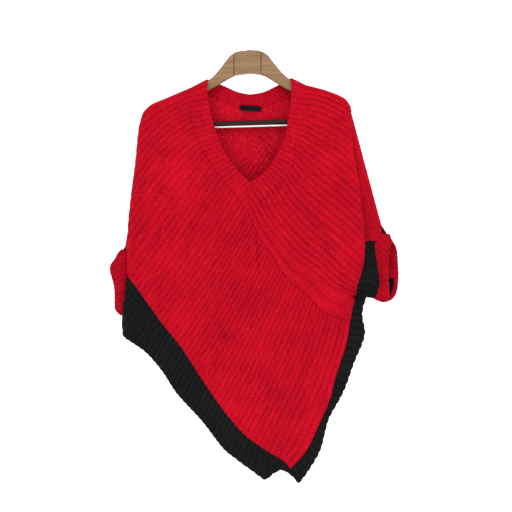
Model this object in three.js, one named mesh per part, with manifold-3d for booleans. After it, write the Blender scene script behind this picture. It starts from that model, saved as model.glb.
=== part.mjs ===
// A chunky ribbed V-neck sweater with a slanting pointed hem, hung on a wooden hanger.
// Millimetres. +X is the viewer's right, +Y points away from the viewer, +Z is up.
// The origin is where the rail touches the inside of the hook's top.
import * as THREE from 'three';
import { mergeVertices } from 'three/addons/utils/BufferGeometryUtils.js';
import Module from 'manifold-3d';

const wasm = await Module();
wasm.setup();

// Cloth
const WALL = 3;
const SEAM_GAP = 0.3;
const RIB_RISE = 2;
const SLEEVE_RIB_RISE = 1.2;
const SCALLOP = 2.5;
const EDGE_ROUNDING = 20;
const SLEEVE_HALF_DEPTH = 13.7;
const SLEEVE_ROUNDING = 14;
const CUFF_BULGE = 8;
const RIM_HALF_DEPTH = 14.7;
// The cuff's section from its seam round the rim and back inside: share of its length, and how far off
const CUFF_SECTION = [
  { share: 0, off: 0 }, { share: 0.3, off: 0.7 * CUFF_BULGE }, { share: 0.62, off: CUFF_BULGE },
  { share: 0.9, off: 0.45 * CUFF_BULGE }, { share: 1, off: -1 }, { share: 0.86, off: -5 },
  { share: 0.4, off: -2 }, { share: 0, off: -WALL },
];
// How far round a point of the body's edge the sleeve's thickness is looked for
const ARMHOLE_REACH = { across: 3.5, down: [-8, -4, 0, 4, 8] };

// Ribs counted on each seam
const RIBS = {
  neckLeft: 27, neckRight: 28, mitre: 33, side: 15, bandSide: 5.5, hemLong: 29.5, hemTip: 10,
  backNeckLeft: 14, backNeckRight: 12, backMitreLeft: 46, backMitreRight: 16, sideBand: 28,
};

// Hanger
const ARM_HALF_THICKNESS = 7;
const ARM_ROUNDING = 6;
const ARM_CLEARANCE = 5;
const BLOCK = {
  halfThickness: 10, bevel: 1.5, topLeft: -99.8, topRight: -96.5, footLeft: -152, footRight: -150,
};
const BLOCK_FOOT_MIDDLE = -147.5;
const GROOVE = { width: 2.5, depth: 2.5, height: 90, middle: -120, left: -37.6, right: 25.8 };
const BAR = { radius: 6, reach: 204, z: -263.9, tilt: THREE.MathUtils.degToRad(1.65) };
const STRIP = { height: 3.2, width: 7, drop: 8 };
const POST = { width: 12, halfThickness: 5, bottomBelowBar: 9, topLeft: -228, topRight: -216 };
const HOOK = { wire: 1.9, ringRadius: 22.1, stemFoot: -94 };
const COLLAR = { radius: 7.5, height: 3.5, aboveBow: 0.3 };
const LABEL = { left: -23, right: 26, top: -220, bottom: -236, thickness: 0.8, clearance: 0.5 };

const RED = 0xb40f26;
const CHARCOAL = 0x1c1e1e;
const WOOD = 0x8f7252;
const DARK_WOOD = 0x2d1e19;
const STEEL = 0xb9bcc0;
const PALE = 0xdcdcd8;
const NAVY = 0x15161c;

// Outlines in the plane of the garment, from the neck outwards and downwards
const SHOULDER_LEFT = [
  { x: -138, z: -180 }, { x: -194, z: -204 }, { x: -233, z: -221 }, { x: -250, z: -237 },
];
const SIDE_LEFT = [
  { x: -250, z: -237 }, { x: -260, z: -269 }, { x: -270, z: -360 }, { x: -278, z: -422 },
  { x: -287, z: -513 }, { x: -287, z: -620 },
];
const BAND_SIDE_LEFT = [
  { x: -287, z: -627 }, { x: -293, z: -673 }, { x: -301, z: -727 }, { x: -299, z: -763 },
];
const SHOULDER_RIGHT = [{ x: 132, z: -175 }, { x: 180, z: -188 }, { x: 223, z: -207 }, { x: 236, z: -224 }];
const SIDE_RIGHT = [
  { x: 236, z: -224 }, { x: 239, z: -281 }, { x: 242, z: -332 }, { x: 253, z: -398 }, { x: 262, z: -457 },
  { x: 268, z: -527 }, { x: 268, z: -574 }, { x: 262, z: -610 }, { x: 250, z: -650 }, { x: 246, z: -672 },
];
const SIDE_RIGHT_FOOT = [{ x: 246, z: -672 }, { x: 238, z: -701 }, { x: 234, z: -727 }];
// The back mitre's last stretch, which belongs to the right panel's last rib
const MITRE_TAIL = 14;
const SIDE_BAND_TOP = [{ x: 246, z: -672 }, { x: 278, z: -674 }];
const NECK_SEAM_LEFT = [
  { x: -138, z: -180 }, { x: -139, z: -222 }, { x: -136, z: -262 }, { x: -120, z: -311 }, { x: -95, z: -356 },
  { x: -64, z: -399 }, { x: -33, z: -437 }, { x: -6, z: -473 },
];
const NECK_SEAM_RIGHT = [
  { x: 132, z: -175 }, { x: 137, z: -210 }, { x: 132, z: -265 }, { x: 125, z: -303 }, { x: 108, z: -346 },
  { x: 82, z: -394 }, { x: 47, z: -433 }, { x: -6, z: -473 },
];
const NECK_EDGE_LEFT = [
  { x: -100, z: -160 }, { x: -99, z: -190 }, { x: -90, z: -245 }, { x: -75, z: -297 }, { x: -52, z: -344 },
  { x: -21, z: -385 }, { x: 1, z: -405 },
];
const NECK_EDGE_RIGHT = [
  { x: 96, z: -157 }, { x: 96, z: -200 }, { x: 90, z: -245 }, { x: 82, z: -294 }, { x: 63, z: -338 },
  { x: 38, z: -376 }, { x: 1, z: -405 },
];
const BACK_SEAM_LEFT = [{ x: -138, z: -180 }, { x: -85, z: -206 }, { x: -40, z: -226 }, { x: 0, z: -248 }];
const BACK_SEAM_RIGHT = [{ x: 132, z: -175 }, { x: 85, z: -203 }, { x: 40, z: -225 }, { x: 0, z: -248 }];
const BACK_EDGE_LEFT = [{ x: -100, z: -160 }, { x: -64, z: -173 }, { x: -30, z: -188 }, { x: 0, z: -194 }];
const BACK_EDGE_RIGHT = [{ x: 96, z: -157 }, { x: 63, z: -174 }, { x: 30, z: -189 }, { x: 0, z: -194 }];
const MITRE = [
  { x: -6, z: -473 }, { x: 14, z: -517 }, { x: 55, z: -583 }, { x: 90, z: -633 }, { x: 127, z: -663 },
  { x: 169, z: -706 }, { x: 203, z: -721 }, { x: 234, z: -727 },
];
const BACK_MITRE = [{ x: 0, z: -248 }, { x: 234, z: -727 }];
const HEM_SEAM = [
  { x: -287, z: -620 }, { x: -256, z: -661 }, { x: -211, z: -725 }, { x: -159, z: -791 },
  { x: -106, z: -873 }, { x: -53, z: -947 }, { x: -12, z: -993 },
  { x: 39, z: -1031 }, { x: 80, z: -1057 }, { x: 95, z: -1074 },
];
const RIGHT_SEAM = [
  { x: 234, z: -727 }, { x: 225, z: -782 }, { x: 213, z: -820 }, { x: 200, z: -861 }, { x: 188, z: -910 },
  { x: 162, z: -970 }, { x: 131, z: -1034 }, { x: 95, z: -1074 },
];
const HEM_EDGE_LONG = [
  { x: -299, z: -763 }, { x: -274, z: -779 }, { x: -243, z: -801 }, { x: -205, z: -845 },
  { x: -171, z: -897 }, { x: -113, z: -961 }, { x: -58, z: -1031 }, { x: -35, z: -1049 },
];
const HEM_EDGE_TIP = [
  { x: -35, z: -1049 }, { x: -17, z: -1063 }, { x: 19, z: -1091 }, { x: 35, z: -1100 }, { x: 55, z: -1086 },
  { x: 74, z: -1078 }, { x: 97, z: -1090 }, { x: 114, z: -1109 },
];
const RIGHT_EDGE = [
  { x: 278, z: -674 }, { x: 264, z: -695 }, { x: 262, z: -718 }, { x: 268, z: -758 }, { x: 242, z: -828 },
  { x: 218, z: -894 }, { x: 184, z: -957 }, { x: 176, z: -986 }, { x: 164, z: -1031 }, { x: 133, z: -1084 },
  { x: 114, z: -1109 },
];

// Rib directions in degrees from +X, turning towards the floor, by rib number
const LEFT_DIRECTIONS = [
  { rib: 0, start: 154, end: 140 }, { rib: 4, start: 158, end: 122 }, { rib: 8, start: 150, end: 124 },
  { rib: 12, start: 140, end: 127 }, { rib: 15, start: 135, end: 130 }, { rib: 24, start: 126, end: 130 },
  { rib: 34, start: 122, end: 124 }, { rib: 46, start: 116, end: 120 }, { rib: 54, start: 108, end: 117 },
  { rib: 60, start: 100, end: 118 },
];
const RIGHT_DIRECTIONS = [
  { rib: 0, start: 12, end: 48 }, { rib: 3, start: 6, end: 28 }, { rib: 5, start: 13, end: 38 },
  { rib: 7, start: 22, end: 44 }, { rib: 10, start: 32, end: 50 }, { rib: 14, start: 45, end: 50 },
  { rib: 17, start: 54, end: 46 }, { rib: 20, start: 60, end: 42 }, { rib: 23, start: 63, end: 36 },
  { rib: 28, start: 64, end: 14 },
];
// Where the right panels' ribs reach their side: crowded at the shoulder, then spread
const RIGHT_FEET = [
  { rib: 0, share: 0 }, { rib: 3, share: 0.053 }, { rib: 5, share: 0.12 }, { rib: 10, share: 0.31 },
  { rib: 14, share: 0.48 }, { rib: 17.5, share: 0.62 },
  { rib: 20.5, share: 0.725 }, { rib: 23.5, share: 0.82 },
];
const RIGHT_FOLD_RIB = 26;

// Half-depth of the hanging garment, down its height
const BODY_DEPTH = [
  { z: -150, depth: 17 }, { z: -260, depth: 20 }, { z: -360, depth: 25 }, { z: -520, depth: 27 },
  { z: -760, depth: 24 }, { z: -960, depth: 19 }, { z: -1120, depth: 15 },
];
// Soft folds of the front: along a line from its top to its foot, swelling outwards
const FRONT_FOLDS = [
  { topX: 13, topZ: -525, footX: 20, footZ: -625, width: 7, rise: 4 },
  { topX: 150, topZ: -690, footX: 146, footZ: -860, width: 16, rise: 4 },
  { topX: -190, topZ: -330, footX: -235, footZ: -640, width: 45, rise: 5 },
  { topX: 20, topZ: -720, footX: -10, footZ: -1040, width: 40, rise: 6 },
  { topX: 190, topZ: -420, footX: 215, footZ: -600, width: 30, rise: 4 },
  { topX: 30, topZ: -1040, footX: 34, footZ: -1110, width: 20, rise: 11 },
  { topX: 70, topZ: -1050, footX: 76, footZ: -1090, width: 14, rise: -5 },
];
const BACK_FOLDS = [
  { topX: -120, topZ: -300, footX: -190, footZ: -760, width: 40, rise: 6 },
  { topX: 10, topZ: -420, footX: 20, footZ: -980, width: 45, rise: 6 },
  { topX: 160, topZ: -330, footX: 190, footZ: -700, width: 34, rise: 5 },
  { topX: -60, topZ: -700, footX: -70, footZ: -960, width: 30, rise: -4 },
  { topX: 60, topZ: -1040, footX: 66, footZ: -1100, width: 22, rise: 8 },
];

// Sleeve ribs: where each starts in the armhole and ends on the sleeve band
const SLEEVES = {
  right: {
    ribs: [
      { mouthX: 239, mouthZ: -241, seamX: 308, seamZ: -501 },
      { mouthX: 228, mouthZ: -262, seamX: 303, seamZ: -521 },
      { mouthX: 230, mouthZ: -305, seamX: 293, seamZ: -537 },
      { mouthX: 234, mouthZ: -362, seamX: 282, seamZ: -539 },
      { mouthX: 249, mouthZ: -460, seamX: 268, seamZ: -541 },
      { mouthX: 255, mouthZ: -520, seamX: 257, seamZ: -543 },
    ],
    innerEnd: [
      { x: 256, z: -575 }, { x: 256, z: -610 }, { x: 256, z: -640 }, { x: 256, z: -660 }, { x: 257, z: -669 },
    ],
    outerEnd: [
      { x: 322, z: -525 }, { x: 306, z: -524 }, { x: 299, z: -535 }, { x: 294, z: -550 }, { x: 293, z: -568 },
      { x: 296, z: -590 }, { x: 300, z: -615 }, { x: 303, z: -638 }, { x: 300, z: -655 }, { x: 296, z: -668 },
      { x: 290, z: -677 },
    ],
    rim: [
      { front: 333, back: 333, z: -541 }, { front: 330, back: 341, z: -550 },
      { front: 327, back: 345, z: -562 },
      { front: 325, back: 347, z: -580 }, { front: 324, back: 348, z: -596 },
      { front: 324, back: 349, z: -612 },
      { front: 324, back: 349, z: -628 }, { front: 325, back: 348, z: -643 },
      { front: 326, back: 346, z: -657 },
      { front: 327, back: 342, z: -670 }, { front: 329, back: 333, z: -680 },
    ],
    foldTop: -241, foldFoot: -668,
  },
  left: {
    ribs: [
      { mouthX: -252, mouthZ: -300, seamX: -281, seamZ: -538 },
      { mouthX: -240, mouthZ: -322, seamX: -277, seamZ: -562 },
      { mouthX: -238, mouthZ: -360, seamX: -270, seamZ: -574 },
      { mouthX: -240, mouthZ: -420, seamX: -261, seamZ: -580 },
      { mouthX: -244, mouthZ: -490, seamX: -252, seamZ: -583 },
      { mouthX: -246, mouthZ: -545, seamX: -248, seamZ: -585 },
    ],
    innerEnd: [
      { x: -248, z: -610 }, { x: -248, z: -640 }, { x: -248, z: -668 },
      { x: -248, z: -690 }, { x: -249, z: -702 },
    ],
    outerEnd: [
      { x: -304, z: -570 }, { x: -297, z: -573 }, { x: -293, z: -581 },
      { x: -292.5, z: -592 }, { x: -292.5, z: -606 },
      { x: -292.5, z: -624 }, { x: -293.5, z: -644 }, { x: -296, z: -664 },
      { x: -299, z: -682 }, { x: -301, z: -697 },
      { x: -302, z: -706 },
    ],
    rim: [
      { front: -322, back: -322, z: -586 }, { front: -326, back: -326, z: -593 },
      { front: -330, back: -328, z: -602 },
      { front: -329, back: -326, z: -616 }, { front: -326, back: -323, z: -630 },
      { front: -323, back: -320, z: -644 },
      { front: -320, back: -318, z: -658 }, { front: -318, back: -316, z: -672 },
      { front: -316, back: -314, z: -686 },
      { front: -313, back: -311, z: -700 }, { front: -306, back: -306, z: -711 },
    ],
    foldTop: -540, foldFoot: -703,
  },
};

const FRONT = -1;
const BACK = 1;

// Lines in the plane of the garment: THREE.Vector2 holds x and z

function smoothLine(rows, spacing = 4) {
  const through = rows.map(({ x, z }) => new THREE.Vector3(x, 0, z));
  const curve = new THREE.CatmullRomCurve3(through, false, 'centripetal');
  const steps = Math.ceil(curve.getLength() / spacing);
  return curve.getSpacedPoints(steps).map((point) => new THREE.Vector2(point.x, point.z));
}

function lineLength(line) {
  let total = 0;
  for (let k = 1; k < line.length; k += 1) total += line[k].distanceTo(line[k - 1]);
  return total;
}

function pointAlong(line, fraction) {
  let left = fraction * lineLength(line);
  for (let k = 1; k < line.length; k += 1) {
    const step = line[k].distanceTo(line[k - 1]);
    if (left <= step || k === line.length - 1) {
      return line[k - 1].clone().lerp(line[k], Math.min(left / step, 1));
    }
    left -= step;
  }
  return line.at(-1).clone();
}

// Points at every half rib along stretches, each with its own number of ribs
function halfRibPoints(stretches) {
  const points = [];
  for (const { line, ribs } of stretches) {
    const steps = Math.round(ribs * 2);
    for (let k = points.length ? 1 : 0; k <= steps; k += 1) points.push(pointAlong(line, k / steps));
  }
  return points;
}

function tableValue(rows, key, at, column) {
  const rising = rows.at(-1)[key] > rows[0][key];
  for (let k = 1; k < rows.length; k += 1) {
    const inside = rising ? at <= rows[k][key] : at >= rows[k][key];
    if (inside || k === rows.length - 1) {
      const share = (at - rows[k - 1][key]) / (rows[k][key] - rows[k - 1][key]);
      return THREE.MathUtils.lerp(rows[k - 1][column], rows[k][column], THREE.MathUtils.clamp(share, 0, 1));
    }
  }
  return rows[0][column];
}

// The closed folds, where front and back meet
const FOLD_LINES = [
  [[NECK_EDGE_LEFT[0], ...SHOULDER_LEFT], SIDE_LEFT, BAND_SIDE_LEFT].flatMap((rows) => smoothLine(rows)),
  [[NECK_EDGE_RIGHT[0], ...SHOULDER_RIGHT], SIDE_RIGHT, SIDE_BAND_TOP].flatMap((rows) => smoothLine(rows)),
];
const CENTRE = new THREE.Vector2(0, -600);

function nearestFold(lines, point) {
  let best = { distance: Infinity };
  for (const line of lines) {
    for (let k = 1; k < line.length; k += 1) {
      const along = line[k].clone().sub(line[k - 1]);
      const length = along.length();
      if (length < 1e-6) continue;
      const reach = point.clone().sub(line[k - 1]).dot(along);
      const share = THREE.MathUtils.clamp(reach / (length * length), 0, 1);
      const foot = line[k - 1].clone().addScaledVector(along, share);
      const distance = foot.distanceTo(point);
      if (distance < best.distance) best = { distance, foot, along: along.divideScalar(length) };
    }
  }
  const inward = new THREE.Vector2(-best.along.y, best.along.x);
  if (inward.dot(CENTRE.clone().sub(best.foot)) < 0) inward.negate();
  if (best.distance > 0.5) inward.copy(point).sub(best.foot).normalize();
  return { distance: best.distance, inward };
}

// A quarter-round rise from a fold to the full half-depth, with its slope
function rounding(distance, radius) {
  const t = Math.min(distance, radius) / radius;
  const rise = Math.sqrt(1 - (1 - t) ** 2);
  return { rise, slope: t >= 1 ? 0 : (1 - t) / (radius * Math.max(rise, 0.02)) };
}

function foldRelief(fold, x, z) {
  const top = new THREE.Vector2(fold.topX, fold.topZ);
  const along = new THREE.Vector2(fold.footX, fold.footZ).sub(top);
  const point = new THREE.Vector2(x, z);
  const share = point.clone().sub(top).dot(along) / along.lengthSq();
  const beside = point.distanceTo(top.clone().addScaledVector(along, THREE.MathUtils.clamp(share, 0, 1)));
  const rising = THREE.MathUtils.smoothstep(share, -0.25, 0.3);
  const fade = rising * (1 - THREE.MathUtils.smoothstep(share, 0.75, 1.2));
  return fold.rise * fade * Math.exp(-((beside / fold.width) ** 2));
}

function fullDepth(side, x, z) {
  const folds = side === FRONT ? FRONT_FOLDS : BACK_FOLDS;
  const base = tableValue(BODY_DEPTH, 'z', z, 'depth');
  return folds.reduce((depth, fold) => depth + foldRelief(fold, x, z), base);
}

// The sleeves' closed folds, which the body's panels lie against in the armholes
function sleeveFoldLines({ ribs, innerEnd, outerEnd }) {
  const top = [{ x: ribs[0].mouthX, z: ribs[0].mouthZ }, { x: ribs[0].seamX, z: ribs[0].seamZ }, outerEnd[0]];
  const foot = [innerEnd.at(-1), outerEnd.at(-1)];
  return [top, foot].map((rows) => rows.map(({ x, z }) => new THREE.Vector2(x, z)));
}
for (const sleeve of Object.values(SLEEVES)) sleeve.folds = sleeveFoldLines(sleeve);

function armholeDepth(x, z) {
  const sleeve = x > 0 ? SLEEVES.right : SLEEVES.left;
  const inset = -Math.sign(x) * ARMHOLE_REACH.across;
  if (z < sleeve.foldFoot - 2) return SEAM_GAP / 2;
  let depth = 0;
  for (const down of ARMHOLE_REACH.down) {
    for (const across of [0, inset]) {
      const at = new THREE.Vector2(x + across, z + down);
      if (at.y > sleeve.foldTop || at.y < sleeve.foldFoot) continue;
      const { rise } = rounding(nearestFold(sleeve.folds, at).distance, SLEEVE_ROUNDING);
      depth = Math.max(depth, SLEEVE_HALF_DEPTH * rise);
    }
  }
  return depth > 0 ? depth + SLEEVE_RIB_RISE + SEAM_GAP : SEAM_GAP / 2;
}

function slopeOf(height, x, z) {
  const step = 1;
  return new THREE.Vector2(
    (height(x + step, z) - height(x - step, z)) / (2 * step),
    (height(x, z + step) - height(x, z - step)) / (2 * step),
  );
}

// A point of the body's cloth and its outward direction; on a fold the direction lies in the plane
function bodyPoint(side, { x, y: z }, onFold) {
  const at = new THREE.Vector2(x, z);
  const { distance, inward } = nearestFold(FOLD_LINES, at);
  const edge = distance < EDGE_ROUNDING ? armholeDepth(x, z) : SEAM_GAP / 2;
  const { rise, slope } = rounding(onFold ? 0 : distance, EDGE_ROUNDING);
  const full = fullDepth(side, x, z);
  const depth = edge + (full - edge) * rise;
  const gradient = slopeOf((u, v) => fullDepth(side, u, v), x, z).multiplyScalar(rise);
  gradient.addScaledVector(inward, (full - edge) * slope);
  const normal = onFold
    ? new THREE.Vector3(-inward.x, 0, -inward.y)
    : new THREE.Vector3(-gradient.x, side, -gradient.y).normalize();
  return { point: new THREE.Vector3(x, side * depth, z), normal };
}

function sleevePoint(sleeve, side, { x, y: z }) {
  const { distance, inward } = nearestFold(sleeve.folds, new THREE.Vector2(x, z));
  if (side === 0) {
    return { point: new THREE.Vector3(x, 0, z), normal: new THREE.Vector3(-inward.x, 0, -inward.y) };
  }
  const { rise, slope } = rounding(distance, SLEEVE_ROUNDING);
  const gradient = inward.clone().multiplyScalar(SLEEVE_HALF_DEPTH * slope);
  const normal = new THREE.Vector3(-gradient.x, side, -gradient.y).normalize();
  return { point: new THREE.Vector3(x, side * SLEEVE_HALF_DEPTH * rise, z), normal };
}

// Closed solids from grids of points

function closedGeometry(vertices, triangles) {
  const geometry = new THREE.BufferGeometry();
  const coordinates = vertices.flatMap((vertex) => vertex.toArray());
  geometry.setAttribute('position', new THREE.Float32BufferAttribute(coordinates, 3));
  let volume = 0;
  for (const [a, b, c] of triangles) volume += vertices[a].dot(vertices[b].clone().cross(vertices[c]));
  const facing = volume > 0 ? triangles : triangles.map(([a, b, c]) => [a, c, b]);
  geometry.setIndex(facing.flat());
  geometry.computeVertexNormals();
  return geometry;
}

// The short side of four corners is the diagonal
function quad(vertices, a, b, c, d) {
  const split = vertices[a].distanceTo(vertices[c]) < vertices[b].distanceTo(vertices[d]);
  return split ? [[a, b, c], [a, c, d]] : [[a, b, d], [b, c, d]];
}

// A wall of cloth: columns of {point, normal}, ribs raised outside, a plain coarser inside.
// The inside keeps only the columns named in inner, and fans join it to every outer column.
function wallGeometry({ columns, lift, thickness = WALL, inner, wrap = false }) {
  const rows = columns[0].length;
  const vertices = [];
  const triangles = [];
  const outerAt = (i, j) => (i % columns.length) * rows + j;
  columns.forEach((column, i) => column.forEach(({ point, normal }, j) => {
    vertices.push(point.clone().addScaledVector(normal, lift(i, j)));
  }));
  const innerStart = vertices.length;
  const slots = new Map(inner.map((i, slot) => [i, slot]));
  for (const i of inner) {
    for (const { point, normal } of columns[i]) {
      vertices.push(point.clone().addScaledVector(normal, -thickness));
    }
  }
  const innerAt = (i, j) => innerStart + slots.get(i % columns.length) * rows + j;
  const outerSpan = wrap ? columns.length : columns.length - 1;
  for (let i = 0; i < outerSpan; i += 1) {
    for (let j = 0; j + 1 < rows; j += 1) {
      const corners = [outerAt(i, j), outerAt(i + 1, j), outerAt(i + 1, j + 1), outerAt(i, j + 1)];
      triangles.push(...quad(vertices, ...corners));
    }
  }
  const spans = inner.slice(1).map((to, k) => [inner[k], to]);
  if (wrap) spans.push([inner.at(-1), columns.length + inner[0]]);
  for (const [from, to] of spans) {
    for (let j = 0; j + 1 < rows; j += 1) {
      const corners = [innerAt(from, j), innerAt(from, j + 1), innerAt(to, j + 1), innerAt(to, j)];
      triangles.push(...quad(vertices, ...corners));
    }
    const middle = Math.floor((from + to) / 2);
    for (const j of [0, rows - 1]) {
      const rim = [];
      for (let i = from; i < to; i += 1) {
        rim.push([outerAt(i, j), i < middle ? innerAt(from, j) : innerAt(to, j), outerAt(i + 1, j)]);
      }
      rim.push([outerAt(middle, j), innerAt(from, j), innerAt(to, j)]);
      triangles.push(...(j === 0 ? rim : rim.map(([a, b, c]) => [a, c, b])));
    }
  }
  if (!wrap) {
    const last = columns.length - 1;
    for (let j = 0; j + 1 < rows; j += 1) {
      const first = quad(vertices, outerAt(0, j), outerAt(0, j + 1), innerAt(0, j + 1), innerAt(0, j));
      const corners = [outerAt(last, j), innerAt(last, j), innerAt(last, j + 1), outerAt(last, j + 1)];
      const end = quad(vertices, ...corners);
      triangles.push(...first, ...end);
    }
  }
  return closedGeometry(vertices, triangles);
}

// The inside keeps every column in the sharp ranges, its first and last, and every fourth elsewhere
function innerColumns(count, sharp, offset = 0) {
  const kept = [];
  for (let i = 0; i < count; i += 1) {
    const named = sharp.some(([from, to]) => i >= from && i <= to);
    if (named || i === 0 || i === count - 1 || (i + offset) % 4 === 0) kept.push(i);
  }
  return kept;
}
const SHOULDER_SHARP = [0, 6];

const ribLift = (rise = RIB_RISE) => (i) => (i % 2 === 1 ? rise : 0);

// Flat plans of the panels: columns of points along the ribs

function hermite(from, to, startAngle, endAngle, share) {
  const reach = from.distanceTo(to);
  const start = THREE.MathUtils.degToRad(startAngle);
  const end = THREE.MathUtils.degToRad(endAngle);
  const s = share;
  return new THREE.Vector2()
    .addScaledVector(from, 2 * s ** 3 - 3 * s ** 2 + 1)
    .addScaledVector(to, 3 * s ** 2 - 2 * s ** 3)
    .addScaledVector(new THREE.Vector2(Math.cos(start), -Math.sin(start)), reach * (s ** 3 - 2 * s ** 2 + s))
    .addScaledVector(new THREE.Vector2(Math.cos(end), -Math.sin(end)), reach * (s ** 3 - s ** 2));
}

// Shares of a rib's length; crowd of 1 gathers them where the rib runs over a folded side
function rowShares(count, length, crowd) {
  const near = [0, 6, 24];
  const far = Math.min(1, 0.6 * length / near.at(-1));
  const gathered = near.map((reach) => 1 - (reach * far) / length).reverse();
  const plain = count - near.length + 1;
  const shares = [];
  for (let j = 0; j <= count; j += 1) {
    const crowded = j < plain ? (gathered[0] * j) / plain : gathered[j - plain];
    shares.push(THREE.MathUtils.lerp(j / count, crowded, crowd));
  }
  return shares;
}

// Rib-long columns between two chains of points, the first and last following given lines
function panelPlan({ tops, feet, rows, directions, crowd, first, last, blend = 8 }) {
  const count = tops.length;
  const column = (i) => {
    const rib = (directions.at(-1).rib * i) / (count - 1);
    const start = tableValue(directions, 'rib', rib, 'start');
    const end = tableValue(directions, 'rib', rib, 'end');
    const shares = rowShares(rows, tops[i].distanceTo(feet[i]), crowd(i));
    return shares.map((share) => ({ share, at: hermite(tops[i], feet[i], start, end, share) }));
  };
  const drift = (line, i) => (share) => {
    const rib = column(i);
    const k = Math.max(1, rib.findIndex((row) => row.share >= share - 1e-9));
    const part = (share - rib[k - 1].share) / (rib[k].share - rib[k - 1].share);
    return pointAlong(line, share).sub(rib[k - 1].at.clone().lerp(rib[k].at, part));
  };
  const ends = [first && drift(first, 0), last && drift(last, count - 1)];
  return tops.map((_, i) => column(i).map(({ share, at }) => {
    const weights = [i, count - 1 - i].map((away) => Math.max(0, 1 - away / blend) ** 2);
    ends.forEach((offset, e) => {
      if (offset && weights[e] > 0) at.addScaledVector(offset(share), weights[e]);
    });
    return at;
  }));
}

// Half a seam's gap is taken off each border that is a seam; folds and free edges stay
function insetPlan(plan, kinds) {
  const lastColumn = plan.length - 1;
  const lastRow = plan[0].length - 1;
  const loop = [];
  for (let i = 0; i < lastColumn; i += 1) loop.push({ i, j: 0, kind: kinds.start(i) });
  for (let j = 0; j < lastRow; j += 1) loop.push({ i: lastColumn, j, kind: kinds.last(j) });
  for (let i = lastColumn; i > 0; i -= 1) loop.push({ i, j: lastRow, kind: kinds.end(i - 1) });
  for (let j = lastRow; j > 0; j -= 1) loop.push({ i: 0, j, kind: kinds.first(j - 1) });
  const at = (k) => loop[(k + loop.length) % loop.length];
  const place = (k) => plan[at(k).i][at(k).j];
  let area = 0;
  loop.forEach((_, k) => { area += place(k).x * place(k + 1).y - place(k + 1).x * place(k).y; });
  const turn = area > 0 ? 1 : -1;
  const inwardOf = (k) => {
    const along = place(k + 1).clone().sub(place(k)).normalize();
    return new THREE.Vector2(-along.y * turn, along.x * turn);
  };
  const moved = loop.map((_, k) => {
    const [n1, n2] = [inwardOf(k - 1), inwardOf(k)];
    const [g1, g2] = [at(k - 1).kind, at(k).kind].map((kind) => (kind === 'seam' ? SEAM_GAP / 2 : 0));
    const cross = n1.cross(n2);
    if (Math.abs(cross) < 0.1) return n1.add(n2).normalize().multiplyScalar(Math.max(g1, g2));
    return new THREE.Vector2((g1 * n2.y - g2 * n1.y) / cross, (g2 * n1.x - g1 * n2.x) / cross);
  });
  const folds = plan.map((column) => column.map(() => false));
  loop.forEach((spot, k) => {
    folds[spot.i][spot.j] = spot.kind === 'fold' || at(k - 1).kind === 'fold';
  });
  const result = plan.map((column) => column.map((point) => point.clone()));
  loop.forEach((spot, k) => result[spot.i][spot.j].add(moved[k]));
  return { plan: result, folds };
}

function bodyWall(side, plan, kinds, { inner, scallop = 0 }) {
  const inset = insetPlan(plan, kinds);
  const last = plan[0].length - 1;
  const columns = inset.plan.map((column, i) => column.map((at, j) => {
    if (scallop && j === last && i % 2 === 1) {
      at.addScaledVector(at.clone().sub(column[last - 1]).normalize(), scallop);
    }
    return bodyPoint(side, at, inset.folds[i][j]);
  }));
  return wallGeometry({ columns, lift: ribLift(), inner });
}

// The object

const sweater = new THREE.Group();

function add(name, geometry, color, roughness = 0.95, metalness = 0) {
  const mesh = new THREE.Mesh(geometry, new THREE.MeshStandardMaterial({ color, roughness, metalness }));
  mesh.name = name;
  sweater.add(mesh);
}

// Half-rib points along a seam that keep the seam's own corners, and where those corners are
function cornerPoints(seam, ribs) {
  const halfPitch = lineLength(seam) / ribs / 2;
  const points = [seam[0]];
  const corners = [0];
  let reach = 0;
  for (let k = 1; k < seam.length; k += 1) {
    reach += seam[k].distanceTo(seam[k - 1]);
    const steps = Math.max(1, Math.round(reach / halfPitch) - corners.at(-1));
    for (let step = 1; step <= steps; step += 1) points.push(seam[k - 1].clone().lerp(seam[k], step / steps));
    corners.push(points.length - 1);
  }
  return { points, corners };
}

// Corners that the panels share
const sideFeet = halfRibPoints([
  { line: smoothLine(SIDE_LEFT), ribs: RIBS.side },
  { line: smoothLine(HEM_SEAM), ribs: RIBS.hemLong + RIBS.bandSide + RIBS.hemTip },
]);
const sideColumns = RIBS.side * 2;
const allColumns = sideFeet.length - 1;
const rightSide = [...smoothLine(SIDE_RIGHT), ...smoothLine(SIDE_RIGHT_FOOT).slice(1)];
const footStart = lineLength(smoothLine(SIDE_RIGHT)) / lineLength(rightSide);
const PANEL_ROWS = 6;
const CORNER_SHARP = [sideColumns - 10, sideColumns + 16];
const TIP_SHARP = [allColumns - 14, allColumns];
const leftCrowd = (i) => 1 - THREE.MathUtils.smoothstep(i, sideColumns + 2, sideColumns + 10);

// The right panels' feet at every half rib; one of them falls on the side band's top corner
function rightFeet(ribs) {
  const foldSteps = RIGHT_FOLD_RIB * 2;
  const rows = [...RIGHT_FEET, { rib: RIGHT_FOLD_RIB, share: footStart }, { rib: ribs, share: 1 }];
  const points = [];
  for (let k = 0; k <= ribs * 2; k += 1) {
    const after = Math.max(1, rows.findIndex((row) => row.rib >= k / 2));
    const [from, to] = [rows[after - 1], rows[after]];
    const part = (k / 2 - from.rib) / (to.rib - from.rib);
    points.push(pointAlong(rightSide, THREE.MathUtils.lerp(from.share, to.share, part)));
  }
  return { points, foldSteps };
}

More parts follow.
